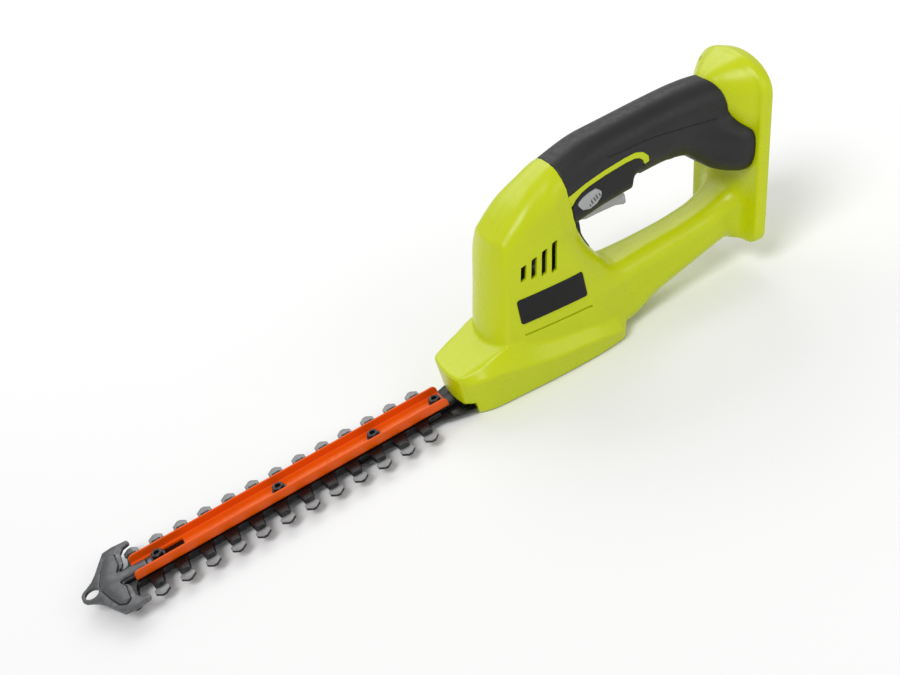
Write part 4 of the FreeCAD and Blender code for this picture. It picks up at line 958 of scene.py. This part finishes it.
def toothed(tail_x, tooth):
    """A blade's outline: a strip with a row of teeth on each side and a narrow tail."""
    points = [(BLADE_END, -TAIL_HALF), (tail_x, -TAIL_HALF), (tail_x, TAIL_HALF), (BLADE_END, TAIL_HALF),
              (BLADE_END, BLADE_HALF)]
    radii = [1, 2, 2, 1, 1]
    for side, first in ((1, -289), (-1, -298)):
        places = [first + PITCH * n for n in range(TEETH)]
        for x in places[::-side]:
            for dx, y, radius in tooth:
                points.append((x + side * dx, side * y))
                radii.append(radius)
        if side > 0:
            points += [(BLADE_TIP, BLADE_HALF), (BLADE_TIP, -BLADE_HALF)]
            radii += [1.5, 1.5]
    points.append((BLADE_END, -BLADE_HALF))
    radii.append(1)
    return turned_corners(points, radii, 3)


def bolt_slots(back, ahead):
    """Round-ended slots for the bolts, longer than a bolt by the blade's travel."""
    slots = []
    for x in BOLTS:
        slot = rectangle(x - SLOT_HALF - back, -SLOT_HALF, x + SLOT_HALF + ahead, SLOT_HALF)
        slots.append(turned_corners(slot, SLOT_HALF - 0.1))
    return slots


def ground_faces(obj, test):
    """Give the ground second material to the faces that pass a test on centre and normal."""
    obj.data.materials.append(GROUND.material)
    for face in obj.data.polygons:
        if test(face.center / MM, face.normal):
            face.material_index = 1


low, high = box_mm("upper_blade")
holes = bolt_slots(STROKE, 0) + [circle(-32, 0, 2.5, 20)]
upper = plate("upper", toothed(-26, STEM), holes, low.z, high.z, 0.15, (1.6, 1.3))
piece(upper, "upper_cutter", OXIDE, "upper_blade_bar", ["upper_blade"], 25)
low, high = box_mm("lower_blade")
holes = bolt_slots(0, STROKE) + [circle(-23, 0, 2.5, 20)]
lower = plate("lower", toothed(-17, PADDLE), holes, low.z, high.z, 0.3, 0.35)
piece(lower, "lower_cutter", OXIDE, "lower_blade_bar", ["lower_blade"], 25)
ground_faces(lower, lambda centre, normal: abs(centre.y) > 21.5 and normal.z > 0.9)

low, high = box_mm("support_bar")
half = [(-297, -9.5), (-133, -10.5), (-129, -13.4), (-121, -13.4), (-117, -10.5), (-84, -10.5),
        (-78.4, -11.8), (-68.6, -12.8), (-55.6, -17.8), (-46.5, -20.6), (-43.3, -21.2), (-43.3, -18.4),
        (-32, -18.4), (-32, -11), (-49, -11)]
holes = [circle(x, 0, BOLT_HOLE, 24) for x in BOLTS] + [circle(-36.5, y, 2.1, 20) for y in (-14.7, 14.7)]
bar = plate("bar", turned_corners(both_sides(half), 1.2, 3), holes, low.z, high.z)
piece(bar, "support_plate", BOLT, "chassis", ["support_bar"])


def channel_section(x, top):
    """The U-section at one place: a flat web and two upright sides, with bent corners."""
    corners = [(-9.6, top), (-10, 10.3), (10, 10.3), (9.6, top), (8.1, top), (8.5, 11.8), (-8.5, 11.8),
               (-8.1, top)]
    return [(x, y, z) for y, z in turned_corners(corners, [0.6, 2.2, 2.2, 0.6, 0.6, 0.8, 0.8, 0.6], 5)]


# the sides' top corners are round at both ends of the channel
END_ROUND, END_STEPS = 3.6, 8
low, high = box_mm("blade_channel")
places = []
for step in range(END_STEPS + 1):
    angle = math.pi / 2 * step / END_STEPS
    places.append((END_ROUND * (1 - math.cos(angle)), high.z - END_ROUND * (1 - math.sin(angle))))
rings = [channel_section(low.x + inward, top) for inward, top in places]
rings += [channel_section(high.x - inward, top) for inward, top in reversed(places)]
channel = stack("channel", rings)
front = low.x - 2
tongue_slot = [(front, -6.3), (-256, -6.3), (-255, -5.3), (-255, 5.3), (-256, 6.3), (front, 6.3)]
tools = [prism(tongue_slot, 9, 13)] + [prism(circle(x, 0, BOLT_HOLE, 24), 9, 13) for x in BOLTS[1:]]
carve(channel, [joined(tools, "cutter")], True)
piece(channel, "channel", ORANGE, "chassis", ["blade_channel"], 40)

low, high = box_mm("tip_guard")
half = [(low.x, -2.6), (low.x + 1.7, -5.6), (low.x + 5, -8), (-319, -11), (-315.5, -16), (-311, -24.5),
        (-306, -33.5), (-299, -34.5), (-288, -33.2), (-287.2, -29), (-292.5, -27.5), (-295.4, -23),
        (-296, -13), (-297.5, -9.5), (-300.5, -7.4), (-298.5, -5.2), (-268.5, -5.2)]
holes = [circle(-320.7, 0, 4.6, 36), circle(BOLTS[0], 0, BOLT_HOLE, 24)]
guard = plate("guard", turned_corners(both_sides(half), 1.8, 4), holes, low.z, low.z + 2.4, 0.5, 0.7)
half = [(-314, -3), (-310.5, -15), (-306.5, -24.6), (-302.5, -27), (-299.2, -24.5), (-299, -12), (-302, -5),
        (-298, -4), (-282, -4)]
rib_outline = turned_corners(both_sides(half), 1.5, 4)
if area_of(rib_outline) < 0:
    rib_outline.reverse()
carve(guard, [prism(inset(rib_outline, -0.8), low.z + 1.7, low.z + 4)])
rib = plate("rib", rib_outline, [], low.z + 1.6, high.z, 0.1, 0.8)
piece(joined([guard, rib], "guard"), "blunt_guard", GUARD, "chassis", ["tip_guard"], 40)


def shoulder_bolt(x, seat):
    """A bolt with a washer face at the height of its seat, and a hexagon head with a lobed socket."""
    shank, washer = 2.45, 5
    turned = ((2.2, 2.0), (2.6, shank), (seat, shank), (seat, washer - 0.25), (seat + 0.2, washer),
              (seat + 0.75, washer), (seat + 1.0, washer - 0.2))
    rings = [ring_points(x, z, radius) for z, radius in turned]
    for rise, across in ((1.0, 3.85), (1.1, 3.75), (3.4, 3.75), (3.7, 3.5), (3.8, 3.2)):
        rings.append(ring_points(x, seat + rise, lambda angle: hexagon_radius(angle, across)))
    for rise, radius in ((3.8, 2.35), (3.5, star(2.15, 0.45)), (2.2, star(2.05, 0.45)), (2.2, 0.3)):
        rings.append(ring_points(x, seat + rise, radius))
    return stack("bolt", rings)


# heights that the bolts sit at: the first on the guard's tongue, the others on the channel's web
GUARD_SEAT, CHANNEL_SEAT = 12.7, 11.8
bolts = [shoulder_bolt(BOLTS[0], GUARD_SEAT)] + [shoulder_bolt(x, CHANNEL_SEAT) for x in BOLTS[1:]]
piece(joined(bolts, "bolts"), "blade_bolt_set", BOLT, "chassis", ["blade_bolts"], 30)

# ---- camera, lights, floor ----
# the camera looks down from the front left
camera = bpy.data.objects.new("camera", bpy.data.cameras.new("camera"))
bpy.context.scene.collection.objects.link(camera)
camera.matrix_world = Matrix(((0.8546554437, 0.4703779818, -0.2197922353, -0.22366456691),
                              (-0.4335474024, 0.4136507127, -0.8005808752, -0.67244771577),
                              (-0.2856584016, 0.7795111558, 0.5574599856, 0.52125601897), (0, 0, 0, 1)))
camera.data.lens = 50.063
camera.data.sensor_width = 36
bpy.context.scene.camera = camera


def softbox(name, place, target, size, power):
    """A rectangular lamp that faces its target."""
    light = bpy.data.lights.new(name, "AREA")
    light.shape = "RECTANGLE"
    light.size, light.size_y = size
    light.energy = power
    obj = bpy.data.objects.new(name, light)
    obj.location = place
    obj.rotation_euler = (Vector(target) - Vector(place)).to_track_quat("-Z", "Y").to_euler()
    bpy.context.scene.collection.objects.link(obj)


sun = bpy.data.lights.new("key", "SUN")
sun.energy, sun.angle = 1.35, math.radians(28)
key = bpy.data.objects.new("key", sun)
key.rotation_euler = Vector((0.55, 0.32, -1)).to_track_quat("-Z", "Y").to_euler()
bpy.context.scene.collection.objects.link(key)
softbox("fill", (0.9, -1.3, 0.9), (0, 0, 0.05), (1.2, 0.8), 5)
softbox("rim", (0.3, 1.3, 1.2), (0, 0, 0.05), (1.8, 0.9), 10)
world = bpy.data.worlds.new("studio")
world.use_nodes = True
sky = world.node_tree.nodes["Background"]
sky.inputs["Color"].default_value = (1, 1, 1, 1)
sky.inputs["Strength"].default_value = 0.55
bpy.context.scene.world = world
bpy.context.scene.view_settings.view_transform = "Standard"

FLOOR_HALF, FLOOR_Z = 6, -0.0005
FLOOR_LOOK = (Surface("studio_floor", (0.86, 0.86, 0.86, 1), 0.7, specular=0.2)
              .mottle(400, 0.05, (0.84, 0.84, 0.84, 1)))
corners = [(x, y, FLOOR_Z) for x, y in rectangle(-FLOOR_HALF, -FLOOR_HALF, FLOOR_HALF, FLOOR_HALF)]
floor_mesh = bpy.data.meshes.new("floor")
floor_mesh.from_pydata(corners, [], [(0, 1, 2, 3)])
floor = thing("floor", floor_mesh)
floor.data.materials.append(FLOOR_LOOK.material)
